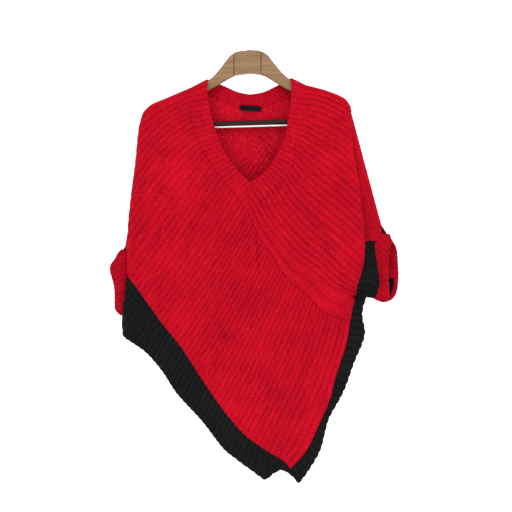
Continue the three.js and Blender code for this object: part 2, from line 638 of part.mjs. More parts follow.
function rightPanel(side) {
  const ribs = side === FRONT ? RIBS.neckRight : RIBS.backNeckRight + RIBS.backMitreRight;
  const { points: feet, foldSteps } = rightFeet(ribs);
  const mitre = smoothLine(side === FRONT ? MITRE : BACK_MITRE);
  const tail = 1 - MITRE_TAIL / lineLength(mitre);
  const mitreTail = [pointAlong(mitre, tail), mitre.at(-1)];
  const mitreStart = [pointAlong(mitre, 0), pointAlong(mitre, tail)];
  const tops = side === FRONT
    ? halfRibPoints([{ line: smoothLine(NECK_SEAM_RIGHT), ribs: RIBS.neckRight }])
    : halfRibPoints([
      { line: smoothLine(BACK_SEAM_RIGHT), ribs: RIBS.backNeckRight },
      { line: mitreStart, ribs: RIBS.backMitreRight },
    ]);
  const plan = panelPlan({
    tops, feet, rows: PANEL_ROWS, directions: RIGHT_DIRECTIONS, crowd: () => 1, blend: 28,
    first: smoothLine(SHOULDER_RIGHT), last: side === FRONT ? mitre : mitreTail,
  });
  const kinds = {
    start: () => 'seam', last: () => 'seam', first: () => 'fold',
    end: (i) => (i < foldSteps ? 'fold' : 'seam'),
  };
  const inner = innerColumns(plan.length, [SHOULDER_SHARP, [foldSteps - 2, plan.length - 1]]);
  return { plan, foldSteps, geometry: bodyWall(side, plan, kinds, { inner }) };
}

function leftPanel(side, mitreLine) {
  const neckLine = smoothLine(side === FRONT ? NECK_SEAM_LEFT : BACK_SEAM_LEFT);
  const neckRibs = side === FRONT ? RIBS.neckLeft : RIBS.backNeckLeft;
  const mitreRibs = side === FRONT ? RIBS.mitre : RIBS.backMitreLeft;
  const neck = halfRibPoints([{ line: neckLine, ribs: neckRibs }]);
  const mitre = cornerPoints(mitreLine, mitreRibs);
  const tops = [...neck, ...mitre.points.slice(1)];
  const plan = panelPlan({
    tops, feet: sideFeet, rows: PANEL_ROWS, directions: LEFT_DIRECTIONS, crowd: leftCrowd, blend: 10,
    first: smoothLine(SHOULDER_LEFT), last: smoothLine(RIGHT_SEAM),
  });
  const kinds = {
    start: () => 'seam', last: () => 'seam', first: () => 'fold',
    end: (i) => (i < sideColumns ? 'fold' : 'seam'),
  };
  const corners = mitre.corners.map((at) => at + neck.length - 1);
  const sharp = [SHOULDER_SHARP, CORNER_SHARP, TIP_SHARP, ...corners.map((at) => [at, at])];
  const inner = innerColumns(plan.length, sharp);
  return { plan, geometry: bodyWall(side, plan, kinds, { inner }) };
}

function hemBand(side) {
  const tops = sideFeet.slice(sideColumns);
  const feet = halfRibPoints([
    { line: smoothLine(BAND_SIDE_LEFT), ribs: RIBS.bandSide },
    { line: smoothLine(HEM_EDGE_LONG), ribs: RIBS.hemLong },
    { line: smoothLine(HEM_EDGE_TIP), ribs: RIBS.hemTip },
  ]);
  const foldColumns = RIBS.bandSide * 2;
  const shares = [[0, 0.5, 0.85, 1], [0, 0.33, 0.67, 1]];
  const plan = tops.map((top, i) => {
    const edge = THREE.MathUtils.smoothstep(i, foldColumns, foldColumns + 4);
    const rows = shares[0].map((share, j) => THREE.MathUtils.lerp(share, shares[1][j], edge));
    return rows.map((share) => top.clone().lerp(feet[i], share));
  });
  const kinds = {
    start: () => 'seam', last: () => 'seam', first: () => 'fold',
    end: (i) => (i < foldColumns ? 'fold' : 'free'),
  };
  const sharp = [CORNER_SHARP, TIP_SHARP].map(([from, to]) => [from - sideColumns, to - sideColumns]);
  const inner = innerColumns(plan.length, sharp, sideColumns);
  return bodyWall(side, plan, kinds, { inner, scallop: SCALLOP });
}

function sideBand(side, seam) {
  const { points: tops, corners } = cornerPoints(seam, RIBS.sideBand);
  const edge = smoothLine(RIGHT_EDGE);
  const plan = tops.map((top, i) => {
    const foot = pointAlong(edge, i / (tops.length - 1));
    return [0, 0.34, 0.67, 1].map((share) => top.clone().lerp(foot, share));
  });
  const kinds = { start: () => 'seam', last: () => 'seam', first: () => 'fold', end: () => 'free' };
  const tipStart = tops.length - SHOULDER_SHARP[1];
  const kept = (i) => i <= SHOULDER_SHARP[1] || corners.includes(i) || i >= tipStart;
  const inner = tops.map((_, i) => i).filter(kept);
  return bodyWall(side, plan, kinds, { inner, scallop: SCALLOP });
}

// One ring: down the front left, up the front right, and back over the shoulders
function neckband() {
  const stretches = [
    { side: FRONT, edge: NECK_EDGE_LEFT, seam: NECK_SEAM_LEFT, ribs: RIBS.neckLeft, back: false },
    { side: FRONT, edge: NECK_EDGE_RIGHT, seam: NECK_SEAM_RIGHT, ribs: RIBS.neckRight, back: true },
    { side: BACK, edge: BACK_EDGE_RIGHT, seam: BACK_SEAM_RIGHT, ribs: RIBS.backNeckRight, back: false },
    { side: BACK, edge: BACK_EDGE_LEFT, seam: BACK_SEAM_LEFT, ribs: RIBS.backNeckLeft, back: true },
  ];
  const ring = [];
  for (const { side, edge, seam, ribs, back } of stretches) {
    const [edgeLine, seamLine] = [smoothLine(edge), smoothLine(seam)];
    const kept = innerColumns(ribs * 2 + 1, [SHOULDER_SHARP, [ribs * 2 - 1, ribs * 2]]);
    for (let k = 0; k < ribs * 2; k += 1) {
      const i = back ? ribs * 2 - k : k;
      const share = i / (ribs * 2);
      const [atEdge, atSeam] = [pointAlong(edgeLine, share), pointAlong(seamLine, share)];
      ring.push({ side, edge: atEdge, seam: atSeam, shoulder: i === 0, kept: kept.includes(i) });
    }
  }
  const count = ring.length;
  const columns = ring.map(({ side, edge, seam, shoulder }, i) => {
    const [before, after] = [ring[(i + count - 1) % count].seam, ring[(i + 1) % count].seam];
    const n1 = new THREE.Vector2(seam.y - before.y, before.x - seam.x).normalize();
    const n2 = new THREE.Vector2(after.y - seam.y, seam.x - after.x).normalize();
    const toEdge = edge.clone().sub(seam);
    if (n1.dot(toEdge) < 0) n1.negate();
    if (n2.dot(toEdge) < 0) n2.negate();
    const middle = n1.clone().add(n2).normalize();
    const gap = shoulder
      ? toEdge.clone().normalize().multiplyScalar(SEAM_GAP / 2)
      : middle.multiplyScalar(SEAM_GAP / 2 / Math.max(0.4, middle.dot(n1)));
    const foot = seam.clone().add(gap);
    return [0, 0.5, 1].map((share) => {
      const at = edge.clone().lerp(foot, share);
      const cloth = bodyPoint(side, at, shoulder);
      if (shoulder) cloth.point.y = 0;
      return cloth;
    });
  });
  const inner = ring.map((_, i) => i).filter((i) => ring[i].kept);
  return wallGeometry({ columns, lift: ribLift(), inner, wrap: true });
}

// A sleeve: cloth folded over its top edge, its ribs running down to the sleeve band
function sleeveCloth(sleeve) {
  const half = sleeve.ribs.map((rib) => ({
    from: new THREE.Vector2(rib.mouthX, rib.mouthZ), to: new THREE.Vector2(rib.seamX, rib.seamZ),
  }));
  const halves = [];
  half.forEach((rib, k) => {
    if (k > 0) {
      const before = half[k - 1];
      halves.push({ from: before.from.clone().lerp(rib.from, 0.5), to: before.to.clone().lerp(rib.to, 0.5) });
    }
    halves.push(rib);
  });
  const strips = [...halves.slice(1).reverse().map((rib) => [BACK, rib]), [0, halves[0]],
    ...halves.slice(1).map((rib) => [FRONT, rib])];
  const columns = strips.map(([side, { from, to }]) => {
    const seamShort = 1 - (3 * SEAM_GAP) / from.distanceTo(to);
    return [0, 0.25, 0.5, 0.75, 1].map((share) => (
      sleevePoint(sleeve, side, from.clone().lerp(to, share * seamShort))));
  });
  const inner = columns.map((_, i) => i);
  return wallGeometry({ columns, lift: (i, j) => (i % 2 === 1 && j > 1 ? SLEEVE_RIB_RISE : 0), inner });
}

// The places round a sleeve's end: front from the top fold to the lower fold, then the back
function endLoop(places, sideOf) {
  const front = places.map((place, k) => sideOf(place, k === 0 || k === places.length - 1 ? 0 : FRONT));
  const back = places.slice(1, -1).map((place) => sideOf(place, BACK)).reverse();
  return [...front, ...back];
}

function sleeveBand(sleeve) {
  const innerEnd = [...sleeve.ribs.map((rib) => ({ x: rib.seamX, z: rib.seamZ })), ...sleeve.innerEnd];
  const toPoint = ({ x, z }, side) => ({ at: new THREE.Vector2(x, z), side });
  const [from, to] = [endLoop(innerEnd, toPoint), endLoop(sleeve.outerEnd, toPoint)];
  const columns = from.map((start, i) => [0, 0.5, 1].map((share) => (
    sleevePoint(sleeve, start.side, start.at.clone().lerp(to[i].at, share)))));
  return wallGeometry({ columns, lift: () => 0, inner: columns.map((_, i) => i), wrap: true });
}

// A turned-up cuff: double cloth, rounded where it turns over at its rim
function cuff(sleeve) {
  const out = Math.sign(sleeve.outerEnd[0].x);
  const seam = endLoop(sleeve.outerEnd, ({ x, z }, side) => (
    sleevePoint(sleeve, side, new THREE.Vector2(x + out * SEAM_GAP, z - SEAM_GAP))));
  const middle = sleeve.rim.reduce((sum, { z }) => sum + z, 0) / sleeve.rim.length;
  const halfHeight = Math.abs(sleeve.rim[0].z - middle);
  const rim = endLoop(sleeve.rim, ({ front, back, z }, side) => {
    const level = THREE.MathUtils.clamp((z - middle) / halfHeight, -1, 1);
    const x = side === BACK ? back : front;
    const depth = side === 0 ? 0 : RIM_HALF_DEPTH * Math.sqrt(1 - level ** 4);
    const normal = new THREE.Vector3(0, side * 0.9, level * 0.6).normalize();
    return { point: new THREE.Vector3(x, side * depth, z), normal };
  });
  const vertices = [];
  const triangles = [];
  seam.forEach((start, i) => CUFF_SECTION.forEach(({ share, off }) => {
    const normal = start.normal.clone().lerp(rim[i].normal, share).normalize();
    vertices.push(start.point.clone().lerp(rim[i].point, share).addScaledVector(normal, off));
  }));
  const [around, across] = [seam.length, CUFF_SECTION.length];
  for (let i = 0; i < around; i += 1) {
    for (let j = 0; j < across; j += 1) {
      const [a, b] = [i * across + j, i * across + ((j + 1) % across)];
      const [c, d] = [((i + 1) % around) * across + ((j + 1) % across), ((i + 1) % around) * across + j];
      triangles.push(...quad(vertices, a, b, c, d));
    }
  }
  return closedGeometry(vertices, triangles);
}

// A blank woven label on the inside of the back neckband
function neckLabel() {
  const columns = [0, 0.25, 0.5, 0.75, 1].map((across) => [0, 0.5, 1].map((down) => {
    const x = THREE.MathUtils.lerp(LABEL.left, LABEL.right, across);
    const z = THREE.MathUtils.lerp(LABEL.top, LABEL.bottom, down);
    const { point, normal } = bodyPoint(BACK, new THREE.Vector2(x, z), false);
    return { point: point.addScaledVector(normal, -(WALL + LABEL.clearance)), normal };
  }));
  const inner = columns.map((_, i) => i);
  return wallGeometry({ columns, lift: () => 0, thickness: LABEL.thickness, inner });
}

// Hanger

function solidOf(geometry) {
  const bare = geometry.clone();
  bare.deleteAttribute('normal');
  bare.deleteAttribute('uv');
  const merged = mergeVertices(bare, 1e-4);
  return new wasm.Manifold(new wasm.Mesh({
    numProp: 3, vertProperties: new Float32Array(merged.attributes.position.array),
    triVerts: new Uint32Array(merged.index.array),
  }));
}

function geometryOf(solid) {
  const mesh = solid.getMesh();
  const geometry = new THREE.BufferGeometry();
  geometry.setAttribute('position', new THREE.BufferAttribute(new Float32Array(mesh.vertProperties), 3));
  geometry.setIndex(Array.from(mesh.triVerts));
  return geometry;
}

// A shape drawn as x and z, given thickness along y
function slab(shape, halfThickness, bevel, bevelSegments) {
  const geometry = new THREE.ExtrudeGeometry(shape, {
    depth: 2 * (halfThickness - bevel), bevelEnabled: bevel > 0, bevelThickness: bevel, bevelSize: bevel,
    bevelOffset: -bevel, bevelSegments, steps: 1,
  });
  geometry.rotateX(Math.PI / 2);
  geometry.translate(0, halfThickness - bevel, 0);
  return geometry;
}

function hangerBody() {
  const armTop = (rows, from, to) => smoothLine(rows, 16)
    .map((point) => new THREE.Vector2(point.x, point.y - ARM_CLEARANCE))
    .filter((point) => Math.abs(point.x) > from && Math.abs(point.x) < to);
  const leftArm = armTop([{ x: -100, z: -160 }, ...SHOULDER_LEFT], 104, 222);
  const rightArm = armTop([{ x: 96, z: -157 }, ...SHOULDER_RIGHT], 100, 206);
  const bow = [
    { x: -93, z: -161 }, { x: -80, z: -148 }, { x: -66, z: -131 }, { x: -56, z: -117 }, { x: -47, z: -106 },
    { x: -36, z: -99 }, { x: -20, z: -95.5 }, { x: 0, z: -94 }, { x: 20, z: -94.5 }, { x: 33, z: -98 },
    { x: 42, z: -105 }, { x: 51, z: -116 }, { x: 61, z: -129 }, { x: 75, z: -146 }, { x: 88, z: -157.5 },
  ].map(({ x, z }) => new THREE.Vector2(x, z));
  const under = [
    { x: 208, z: -232 }, { x: 180, z: -217 }, { x: 135, z: -202 }, { x: 97, z: -190 }, { x: 62, z: -171 },
    { x: 31, z: -153 }, { x: 0, z: -147 }, { x: -34, z: -153 }, { x: -65, z: -170 }, { x: -99, z: -189 },
    { x: -139, z: -211 }, { x: -185, z: -231 }, { x: -218, z: -247 },
  ];
  const outline = [...leftArm.reverse(), ...bow, ...rightArm, ...smoothLine(under, 18)];
  let body = solidOf(slab(new THREE.Shape(outline), ARM_HALF_THICKNESS, ARM_ROUNDING, 3));
  const block = new THREE.Shape();
  const [left, right] = [GROOVE.left + GROOVE.width / 2, GROOVE.right - GROOVE.width / 2];
  block.moveTo(left, BLOCK.footLeft);
  block.lineTo(left, BLOCK.topLeft);
  const middle = bow.filter(({ x }) => x > left + 5 && x < right - 3);
  for (const point of middle) block.lineTo(point.x, point.y - 0.5);
  block.lineTo(right, BLOCK.topRight);
  block.lineTo(right, BLOCK.footRight);
  block.lineTo(0, BLOCK_FOOT_MIDDLE);
  body = body.add(solidOf(slab(block, BLOCK.halfThickness, BLOCK.bevel, 2)));
  for (const [x, top] of [[-BAR.reach, POST.topLeft], [BAR.reach, POST.topRight]]) {
    const foot = BAR.z + x * Math.tan(BAR.tilt) - POST.bottomBelowBar;
    const post = new THREE.BoxGeometry(POST.width, POST.halfThickness * 2, top - foot);
    post.translate(x, 0, (top + foot) / 2);
    body = body.add(solidOf(post));
  }
  for (const at of [GROOVE.left, GROOVE.right]) {
    for (const side of [FRONT, BACK]) {
      const cut = new THREE.BoxGeometry(GROOVE.width, GROOVE.depth * 2, GROOVE.height);
      cut.translate(at, side * ARM_HALF_THICKNESS, GROOVE.middle);
      body = body.subtract(solidOf(cut));
    }
  }
  return geometryOf(body);
}

function hook() {
  const { wire, ringRadius, stemFoot } = HOOK;
  const centre = new THREE.Vector2(0, wire - ringRadius);
  const route = [];
  for (const degrees of [172, 150, 125, 100, 75, 50, 25, 0, -25, -48]) {
    const angle = THREE.MathUtils.degToRad(degrees);
    route.push([centre.x + ringRadius * Math.cos(angle), centre.y + ringRadius * Math.sin(angle)]);
  }
  route.push([5.5, -43], [0.8, -52], [0, -64], [0, stemFoot + COLLAR.height + COLLAR.aboveBow]);
  const places = route.map(([x, z]) => new THREE.Vector3(x, 0, z));
  const path = new THREE.CatmullRomCurve3(places, false, 'centripetal');
  const section = new THREE.Shape();
  section.absarc(0, 0, wire, 0, Math.PI * 2);
  const options = { steps: 38, curveSegments: 4, bevelEnabled: false, extrudePath: path };
  return new THREE.ExtrudeGeometry(section, options);
}

function upright(radius, height, segments) {
  const geometry = new THREE.CylinderGeometry(radius, radius, height, segments);
  geometry.rotateX(Math.PI / 2);
  return geometry;
}

function tilted(geometry, x, drop = 0) {
  geometry.rotateY(-BAR.tilt);
  geometry.translate(x, 0, BAR.z + x * Math.tan(BAR.tilt) - drop);
  return geometry;
}

function buildHanger() {
  add('hanger_body', hangerBody(), WOOD, 0.5);
  add('hook', hook(), STEEL, 0.3, 0.9);
  const collar = upright(COLLAR.radius, COLLAR.height, 20);
  collar.translate(0, 0, HOOK.stemFoot + COLLAR.height / 2 + COLLAR.aboveBow);
  add('hook_collar', collar, STEEL, 0.35, 0.9);
  const barLength = 2 * BAR.reach - POST.width - 2 * SEAM_GAP;
  const bar = new THREE.CylinderGeometry(BAR.radius, BAR.radius, barLength, 16);
  bar.rotateZ(Math.PI / 2);
  add('trouser_bar', tilted(bar, 0), DARK_WOOD, 0.45);
  const strip = new THREE.BoxGeometry(2 * BAR.reach - POST.width - 2 * SEAM_GAP, STRIP.width, STRIP.height);
  add('bar_strip', tilted(strip, 0, STRIP.drop), PALE, 0.6);
}

const frontRight = rightPanel(FRONT);
const backRight = rightPanel(BACK);
const frontMitre = frontRight.plan.at(-1);
const frontLeft = leftPanel(FRONT, frontMitre);
const backLeft = leftPanel(BACK, BACK_MITRE.map(({ x, z }) => new THREE.Vector2(x, z)));
add('front_left_panel', frontLeft.geometry, RED);
add('front_right_panel', frontRight.geometry, RED);
add('back_left_panel', backLeft.geometry, RED);
add('back_right_panel', backRight.geometry, RED);
add('neckband', neckband(), RED);
const bandSides = [['front', FRONT, frontRight, frontLeft], ['back', BACK, backRight, backLeft]];
for (const [suffix, side, right, left] of bandSides) {
  const rightFoot = right.plan.slice(right.foldSteps).map((column) => column.at(-1));
  const seam = [...rightFoot, ...left.plan.at(-1).slice(1)];
  add(`hem_band_${suffix}`, hemBand(side), CHARCOAL);
  add(`side_band_${suffix}`, sideBand(side, seam), CHARCOAL);
}
for (const [name, sleeve] of Object.entries(SLEEVES)) {
  add(`sleeve_${name}`, sleeveCloth(sleeve), RED);
  add(`sleeve_band_${name}`, sleeveBand(sleeve), CHARCOAL);
  add(`cuff_${name}`, cuff(sleeve), RED);
}
add('neck_label', neckLabel(), NAVY, 0.8);
buildHanger();

export default sweater;
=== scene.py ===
import math
from functools import partial

import bmesh
import bpy
import numpy as np
from bpy.props import FloatProperty, FloatVectorProperty, PointerProperty
from mathutils import Matrix, Vector


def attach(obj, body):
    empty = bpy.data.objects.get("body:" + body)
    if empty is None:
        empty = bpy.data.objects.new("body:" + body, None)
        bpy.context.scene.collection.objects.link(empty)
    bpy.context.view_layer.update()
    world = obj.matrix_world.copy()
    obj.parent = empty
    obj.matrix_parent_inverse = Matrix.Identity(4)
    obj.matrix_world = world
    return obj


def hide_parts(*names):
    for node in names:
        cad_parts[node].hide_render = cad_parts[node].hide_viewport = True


bl_info = {
    "name": "Ribbed V-neck sweater on a hanger",
    "version": (1, 0, 0),
    "blender": (4, 5, 0),
    "location": "View3D > Sidebar > Sweater",
    "description": "Dresses the packed sweater with knitted cloth, yarn, wood and steel",
    "category": "Object",
}

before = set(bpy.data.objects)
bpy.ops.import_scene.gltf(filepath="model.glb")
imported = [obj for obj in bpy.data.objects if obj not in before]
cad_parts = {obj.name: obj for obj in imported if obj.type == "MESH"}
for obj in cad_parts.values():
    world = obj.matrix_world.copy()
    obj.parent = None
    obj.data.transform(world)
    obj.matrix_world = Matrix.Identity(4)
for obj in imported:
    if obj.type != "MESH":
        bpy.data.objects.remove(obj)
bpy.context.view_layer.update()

MM = 0.001
FRONT = -1
BACK = 1

# Outlines of the hanging garment, x and z in millimetres, from the neck outwards and downwards
SHOULDER_LEFT = [(-138, -180), (-194, -204), (-233, -221), (-250, -237)]
SIDE_LEFT = [(-250, -237), (-260, -269), (-270, -360), (-278, -422), (-287, -513), (-287, -620)]
BAND_SIDE_LEFT = [(-287, -627), (-293, -673), (-301, -727), (-299, -763)]
SHOULDER_RIGHT = [(132, -175), (180, -188), (223, -207), (236, -224)]
SIDE_RIGHT = [
    (236, -224), (239, -281), (242, -332), (253, -398), (262, -457),
    (268, -527), (268, -574), (262, -610), (250, -650), (246, -672),
]
SIDE_RIGHT_FOOT = [(246, -672), (238, -701), (234, -727)]
SIDE_BAND_SEAM = [(248, -665), (246, -672), (238, -701), (234, -727)]
SIDE_BAND_TOP = [(248, -665), (276, -661)]
NECK_SEAM_LEFT = [
    (-138, -180), (-139, -222), (-136, -262), (-120, -311), (-95, -356), (-64, -399), (-33, -437), (-6, -473),
]
NECK_SEAM_RIGHT = [
    (132, -175), (137, -210), (132, -265), (125, -303), (108, -346), (82, -394), (47, -433), (-6, -473),
]
NECK_EDGE_LEFT = [(-100, -160), (-99, -190), (-90, -245), (-75, -297), (-52, -344), (-21, -385), (1, -405)]
NECK_EDGE_RIGHT = [(96, -157), (96, -200), (90, -245), (82, -294), (63, -338), (38, -376), (1, -405)]
BACK_SEAM_LEFT = [(-138, -180), (-85, -206), (-40, -226), (0, -248)]
BACK_SEAM_RIGHT = [(132, -175), (85, -203), (40, -225), (0, -248)]
BACK_EDGE_LEFT = [(-100, -160), (-64, -173), (-30, -188), (0, -194)]
BACK_EDGE_RIGHT = [(96, -157), (63, -174), (30, -189), (0, -194)]
MITRE = [(-6, -473), (14, -517), (55, -583), (90, -633), (127, -663), (169, -706), (203, -721), (234, -727)]
BACK_MITRE = [(0, -248), (234, -727)]
HEM_SEAM = [
    (-287, -620), (-256, -661), (-211, -725), (-159, -791), (-106, -873),
    (-53, -947), (-12, -993), (39, -1031), (80, -1057), (95, -1074),
]
RIGHT_SEAM = [
    (234, -727), (225, -782), (213, -820), (200, -861), (188, -910), (162, -970), (131, -1034), (95, -1074),
]
HEM_EDGE_LONG = [
    (-299, -763), (-274, -779), (-243, -801), (-205, -845),
    (-171, -897), (-113, -961), (-58, -1031), (-35, -1049),
]
HEM_EDGE_TIP = [
    (-35, -1049), (-17, -1063), (19, -1088), (35, -1097), (55, -1085), (74, -1078), (97, -1090), (114, -1109),
]
RIGHT_EDGE = [
    (276, -661), (264, -695), (262, -718), (268, -758), (242, -828), (218, -894),
    (184, -957), (176, -986), (164, -1031), (133, -1084), (114, -1109),
]

# Ribs along each seam
NECK_RIBS = {"left": 27, "right": 28, "back_left": 14, "back_right": 12}
MITRE_RIBS = {"left": 33, "back_left": 46, "back_right": 16}
SIDE_RIBS = 15
BAND_SIDE_RIBS = 5.5
HEM_RIBS = 29.5
TIP_RIBS = 10
SIDE_BAND_RIBS = 28
CUFF_RIBS = 24
SLEEVE_BAND_RIBS = 26

# Rib number, its direction where it starts and where it ends, in degrees from +X towards the floor
LEFT_DIRECTIONS = [
    (0, 156, 140), (4, 162, 122), (8, 152, 120), (12, 137, 123), (15, 128, 127),
    (24, 121, 128), (34, 119, 124), (46, 115, 120), (54, 106, 117), (60, 100, 118),
]
RIGHT_DIRECTIONS = [
    (0, 10, 50), (3, -4, 24), (5, 10, 38), (7, 24, 47), (9.5, 34, 53), (13, 46, 55), (17, 58, 50),
    (20, 62, 46), (23.5, 65, 40), (28, 66, 16),
]
# Neckband ribs lie square to its edge: share of the seam, and share of the edge
NECKBAND_TURN = [(0, 0), (0.087, 0.157), (0.22, 0.32), (0.56, 0.676), (0.72, 0.84), (0.87, 1)]

# Height and half-depth of the hanging body
BODY_DEPTH = [(-1120, 15), (-960, 19), (-760, 24), (-520, 27), (-360, 25), (-260, 20), (-150, 17)]

# Soft folds: top x and z, foot x and z, width, rise
FRONT_FOLDS = [
    (4, -525, 11, -625, 6, 3), (150, -690, 146, -860, 16, 4), (-190, -330, -235, -640, 45, 5),
    (20, -720, -10, -1040, 40, 6), (190, -420, 215, -600, 30, 4), (30, -1040, 34, -1110, 20, 11),
    (70, -1050, 76, -1090, 14, -5),
]
BACK_FOLDS = [
    (-120, -300, -190, -760, 40, 6), (10, -420, 20, -980, 45, 6), (160, -330, 190, -700, 34, 5),
    (-60, -700, -70, -960, 30, -4), (60, -1040, 66, -1100, 22, 8),
]
# Small creases laid over the folds, same columns
FRONT_CREASES = [
    (14, -526, 21, -622, 5, -4), (28, -530, 33, -640, 9, 1.8),
    (146, -700, 156, -765, 9, 1.8), (156, -765, 146, -852, 8, 1.6), (128, -760, 120, -850, 14, -1.4),
    (-228, -300, -246, -420, 12, -1.8), (-205, -420, -240, -560, 16, 1.6), (-120, -480, -170, -640, 26, -1.5),
    (-60, -560, -110, -760, 30, 1.6), (60, -760, 30, -900, 22, -1.6), (-20, -800, -60, -930, 20, 1.3),
    (200, -300, 226, -430, 14, -1.6), (170, -470, 205, -560, 16, 1.3), (110, -470, 150, -560, 22, -1.2),
    (-170, -230, -205, -300, 18, 1.6), (180, -215, 205, -290, 16, 1.4), (60, -960, 70, -1040, 14, 1.2),
]
BACK_CREASES = [
    (-210, -330, -236, -500, 15, -1.8), (-40, -330, -60, -520, 26, 1.6), (80, -380, 96, -560, 24, -1.6),
    (-150, -560, -180, -700, 20, 1.6), (-10, -640, 6, -800, 26, -1.6), (110, -620, 118, -800, 20, 1.8),
    (200, -420, 226, -560, 16, -1.4), (-100, -800, -110, -880, 16, 1.4), (40, -860, 46, -980, 18, 1.6),
    (170, -220, 190, -300, 18, 1.4), (-160, -240, -180, -320, 18, 1.2), (150, -820, 140, -930, 14, -1.4),
]

# Sleeve ribs: x and z in the armhole, x and z on the sleeve band
SLEEVES = {
    "right": {
        "ribs": [
            (239, -241, 308, -501), (228, -262, 305.5, -522.5), (230, -305, 296, -538.5),
            (234, -362, 282, -539), (249, -460, 268, -541), (255, -520, 257, -543),
        ],
        "inner_end": [(256, -575), (254, -610), (248, -640), (242, -658), (238, -669)],
        "outer_end": [
            (324, -526), (304, -522), (294, -537), (292, -550), (293, -568), (296, -590),
            (300, -615), (303, -638), (300, -655), (296, -668), (290, -677),
        ],
        # Front x, back x and z round the turned-up rim
        "rim": [
            (333, 333, -541), (330, 342, -550), (327, 347, -562), (325, 349, -580), (324, 350, -596),
            (324, 351, -612), (324, 351, -628), (325, 350, -643), (326, 348, -657), (327, 343, -670),
            (329, 333, -680),
        ],
        "fold_top": -241,
        "fold_foot": -668,
        "dark_below": -629,
    },
    "left": {
        "ribs": [
            (-252, -300, -293, -553), (-240, -322, -288, -566), (-238, -360, -281, -576),
            (-240, -420, -266, -581), (-244, -490, -252, -583), (-246, -545, -248, -585),
        ],
        "inner_end": [(-248, -610), (-248, -640), (-248, -668), (-248, -690), (-249, -702)],
        "outer_end": [
            (-298, -560), (-290, -567), (-287, -578), (-286.5, -592), (-286.5, -606), (-287.5, -624),
            (-288.5, -644), (-288.5, -664), (-289, -682), (-290, -697), (-292, -706),
        ],
        "rim": [
            (-314, -314, -583), (-320, -320, -590), (-327, -325, -599), (-327, -324, -614),
            (-323, -320, -628), (-319, -317, -643), (-317, -316, -658), (-316.5, -316, -672),
            (-316.5, -316, -688), (-316, -316, -703), (-309, -309, -712),
        ],
        "fold_top": -540,
        "fold_foot": -703,
        "dark_below": -650,
    },
}

# Cloth sizes in millimetres, and shares without unit
SEAM_GAP = 0.3
EDGE_ROUNDING = 20
ON_FOLD = 0.05
SLEEVE_HALF_DEPTH = 13.7
SLEEVE_ROUNDING = 14
SLEEVE_RIB_RISE = 1.2
SLEEVE_OVERLAP = 2.4
NARROW_BAND_SINK = 0.2
NARROW_BAND_WIDTHS = (6, 14)
RIM_HALF_DEPTH = 14.7
SCALLOP = {"hem": 0.8, "side": 1.7}
SCALLOP_REST = 0.75
HEM_FOLD_POWER = 1.6
STITCH = 6.2
SEAM_TROUGH = 4
TROUGH_FLOOR = 0.85
FOLD_RIB_SHARE = 0.35
FOLD_RIB_REACH = 12
FOLD_STARTS = (-0.25, 0.3)
FOLD_ENDS = (0.75, 1.2)
MITRE_TAIL = 14
TUCK = 1.8
TUCK_DEPTH = 0.6
ARMHOLE_ACROSS = 3.5
ARMHOLE_DOWN = (-8, -4, 0, 4, 8)
FREE_EDGE_REACH = 3.0
FREE_EDGE_DROP = 1.6

# Ribs: how full a rib is, its height in millimetres over a plain form that sinks a little
RIB_FULLNESS = 0.75
RIB_SINK = 0.3
RIB_UNEVENNESS = 0.16
RIGHT_RIB_SHARE = 1.4
SLEEVE_RIB = {"height": 1.6, "sink": 0.3, "starts": (0.2, 0.4)}
SLEEVE_BAND_RIB = {"height": 1.4, "sink": 0.8}
CUFF_RIB = {"height": 0.8, "sink": 0.5}

# Ribs crowd together towards the side seam, over the last share of their length
CROWD_REACH = 24
CROWD_LIMIT = 0.6
CROWD_SHARE = 0.25
CROWD_POWER = 1.7
# Ribs over which a panel's columns take up the line of its edge
EDGE_BLEND = 5
MITRE_BLEND = 16

# Section of a cuff: share of the way from its start to its rim, and how far out, in millimetres
CUFF_SECTION = [(0, 0), (0.3, 5.6), (0.62, 8), (0.9, 3.6), (1, -1), (0.86, -5), (0.4, -2), (0, -3)]
CUFF_CREASE = {"height": 0.9, "waves": 0.9, "start": 1}
# Share of the section under which inner faces, below a set height, take the charcoal yarn
CUFF_DEEP_SHARE = 0.8

# Grid steps: columns to a rib, and rows along the ribs of each kind of piece
COLUMNS = 8
CURVE_STEPS = 16
PANEL_ROWS = 64
BAND_ROWS = 16
SLEEVE_ROWS = 40
SLEEVE_BAND_ROWS = 12
CUFF_ROWS = 40
MITRE_STEPS = 120
TAIL_STEPS = 6
# Points closer than this, in metres, become one
WELD = 0.00002
NECK_WELD = 0.0004
BACKDROP_WELD = 0.0001

# The knit's look: noises by their scale over a metre, then shares and powers of the stitch pattern
WOBBLE_SCALE = 55
FUZZ_SCALE = 620
PATCH_SCALE = 9
FLECK_SCALE = 330
SPECKLE_SCALE = 300
STREAK_STRETCH = (0.8, 0.12, 1.0)
RIB_WOBBLE = 0.16
LEG_LEAN = 0.8
LEG_POWER = 2.2
CROWN_POWER = 3.0
LEG_GAP = {"sharpness": 5.0, "depth": 0.3}
# Painted shading of the stitches: painted light on the legs and rib crowns, the fuzz's random tone with
# painted highlights, less a drop; the rest is the valleys' painted shade
PAINTED_SHADING = {"body": 0.75, "crown": 0.1, "fuzz": 0.55, "drop": 0.1}
PATCH_TONE = 0.55
STREAK_TONE = 0.6
FUZZ_HEIGHT = 0.35
KNIT_BUMP = (0.85, 0.0014)
GRAIN_STRETCH = (10, 130, 130)
GRAIN_BUMP = (0.3, 0.0004)
LABEL_BUMP = (0.4, 0.0003)

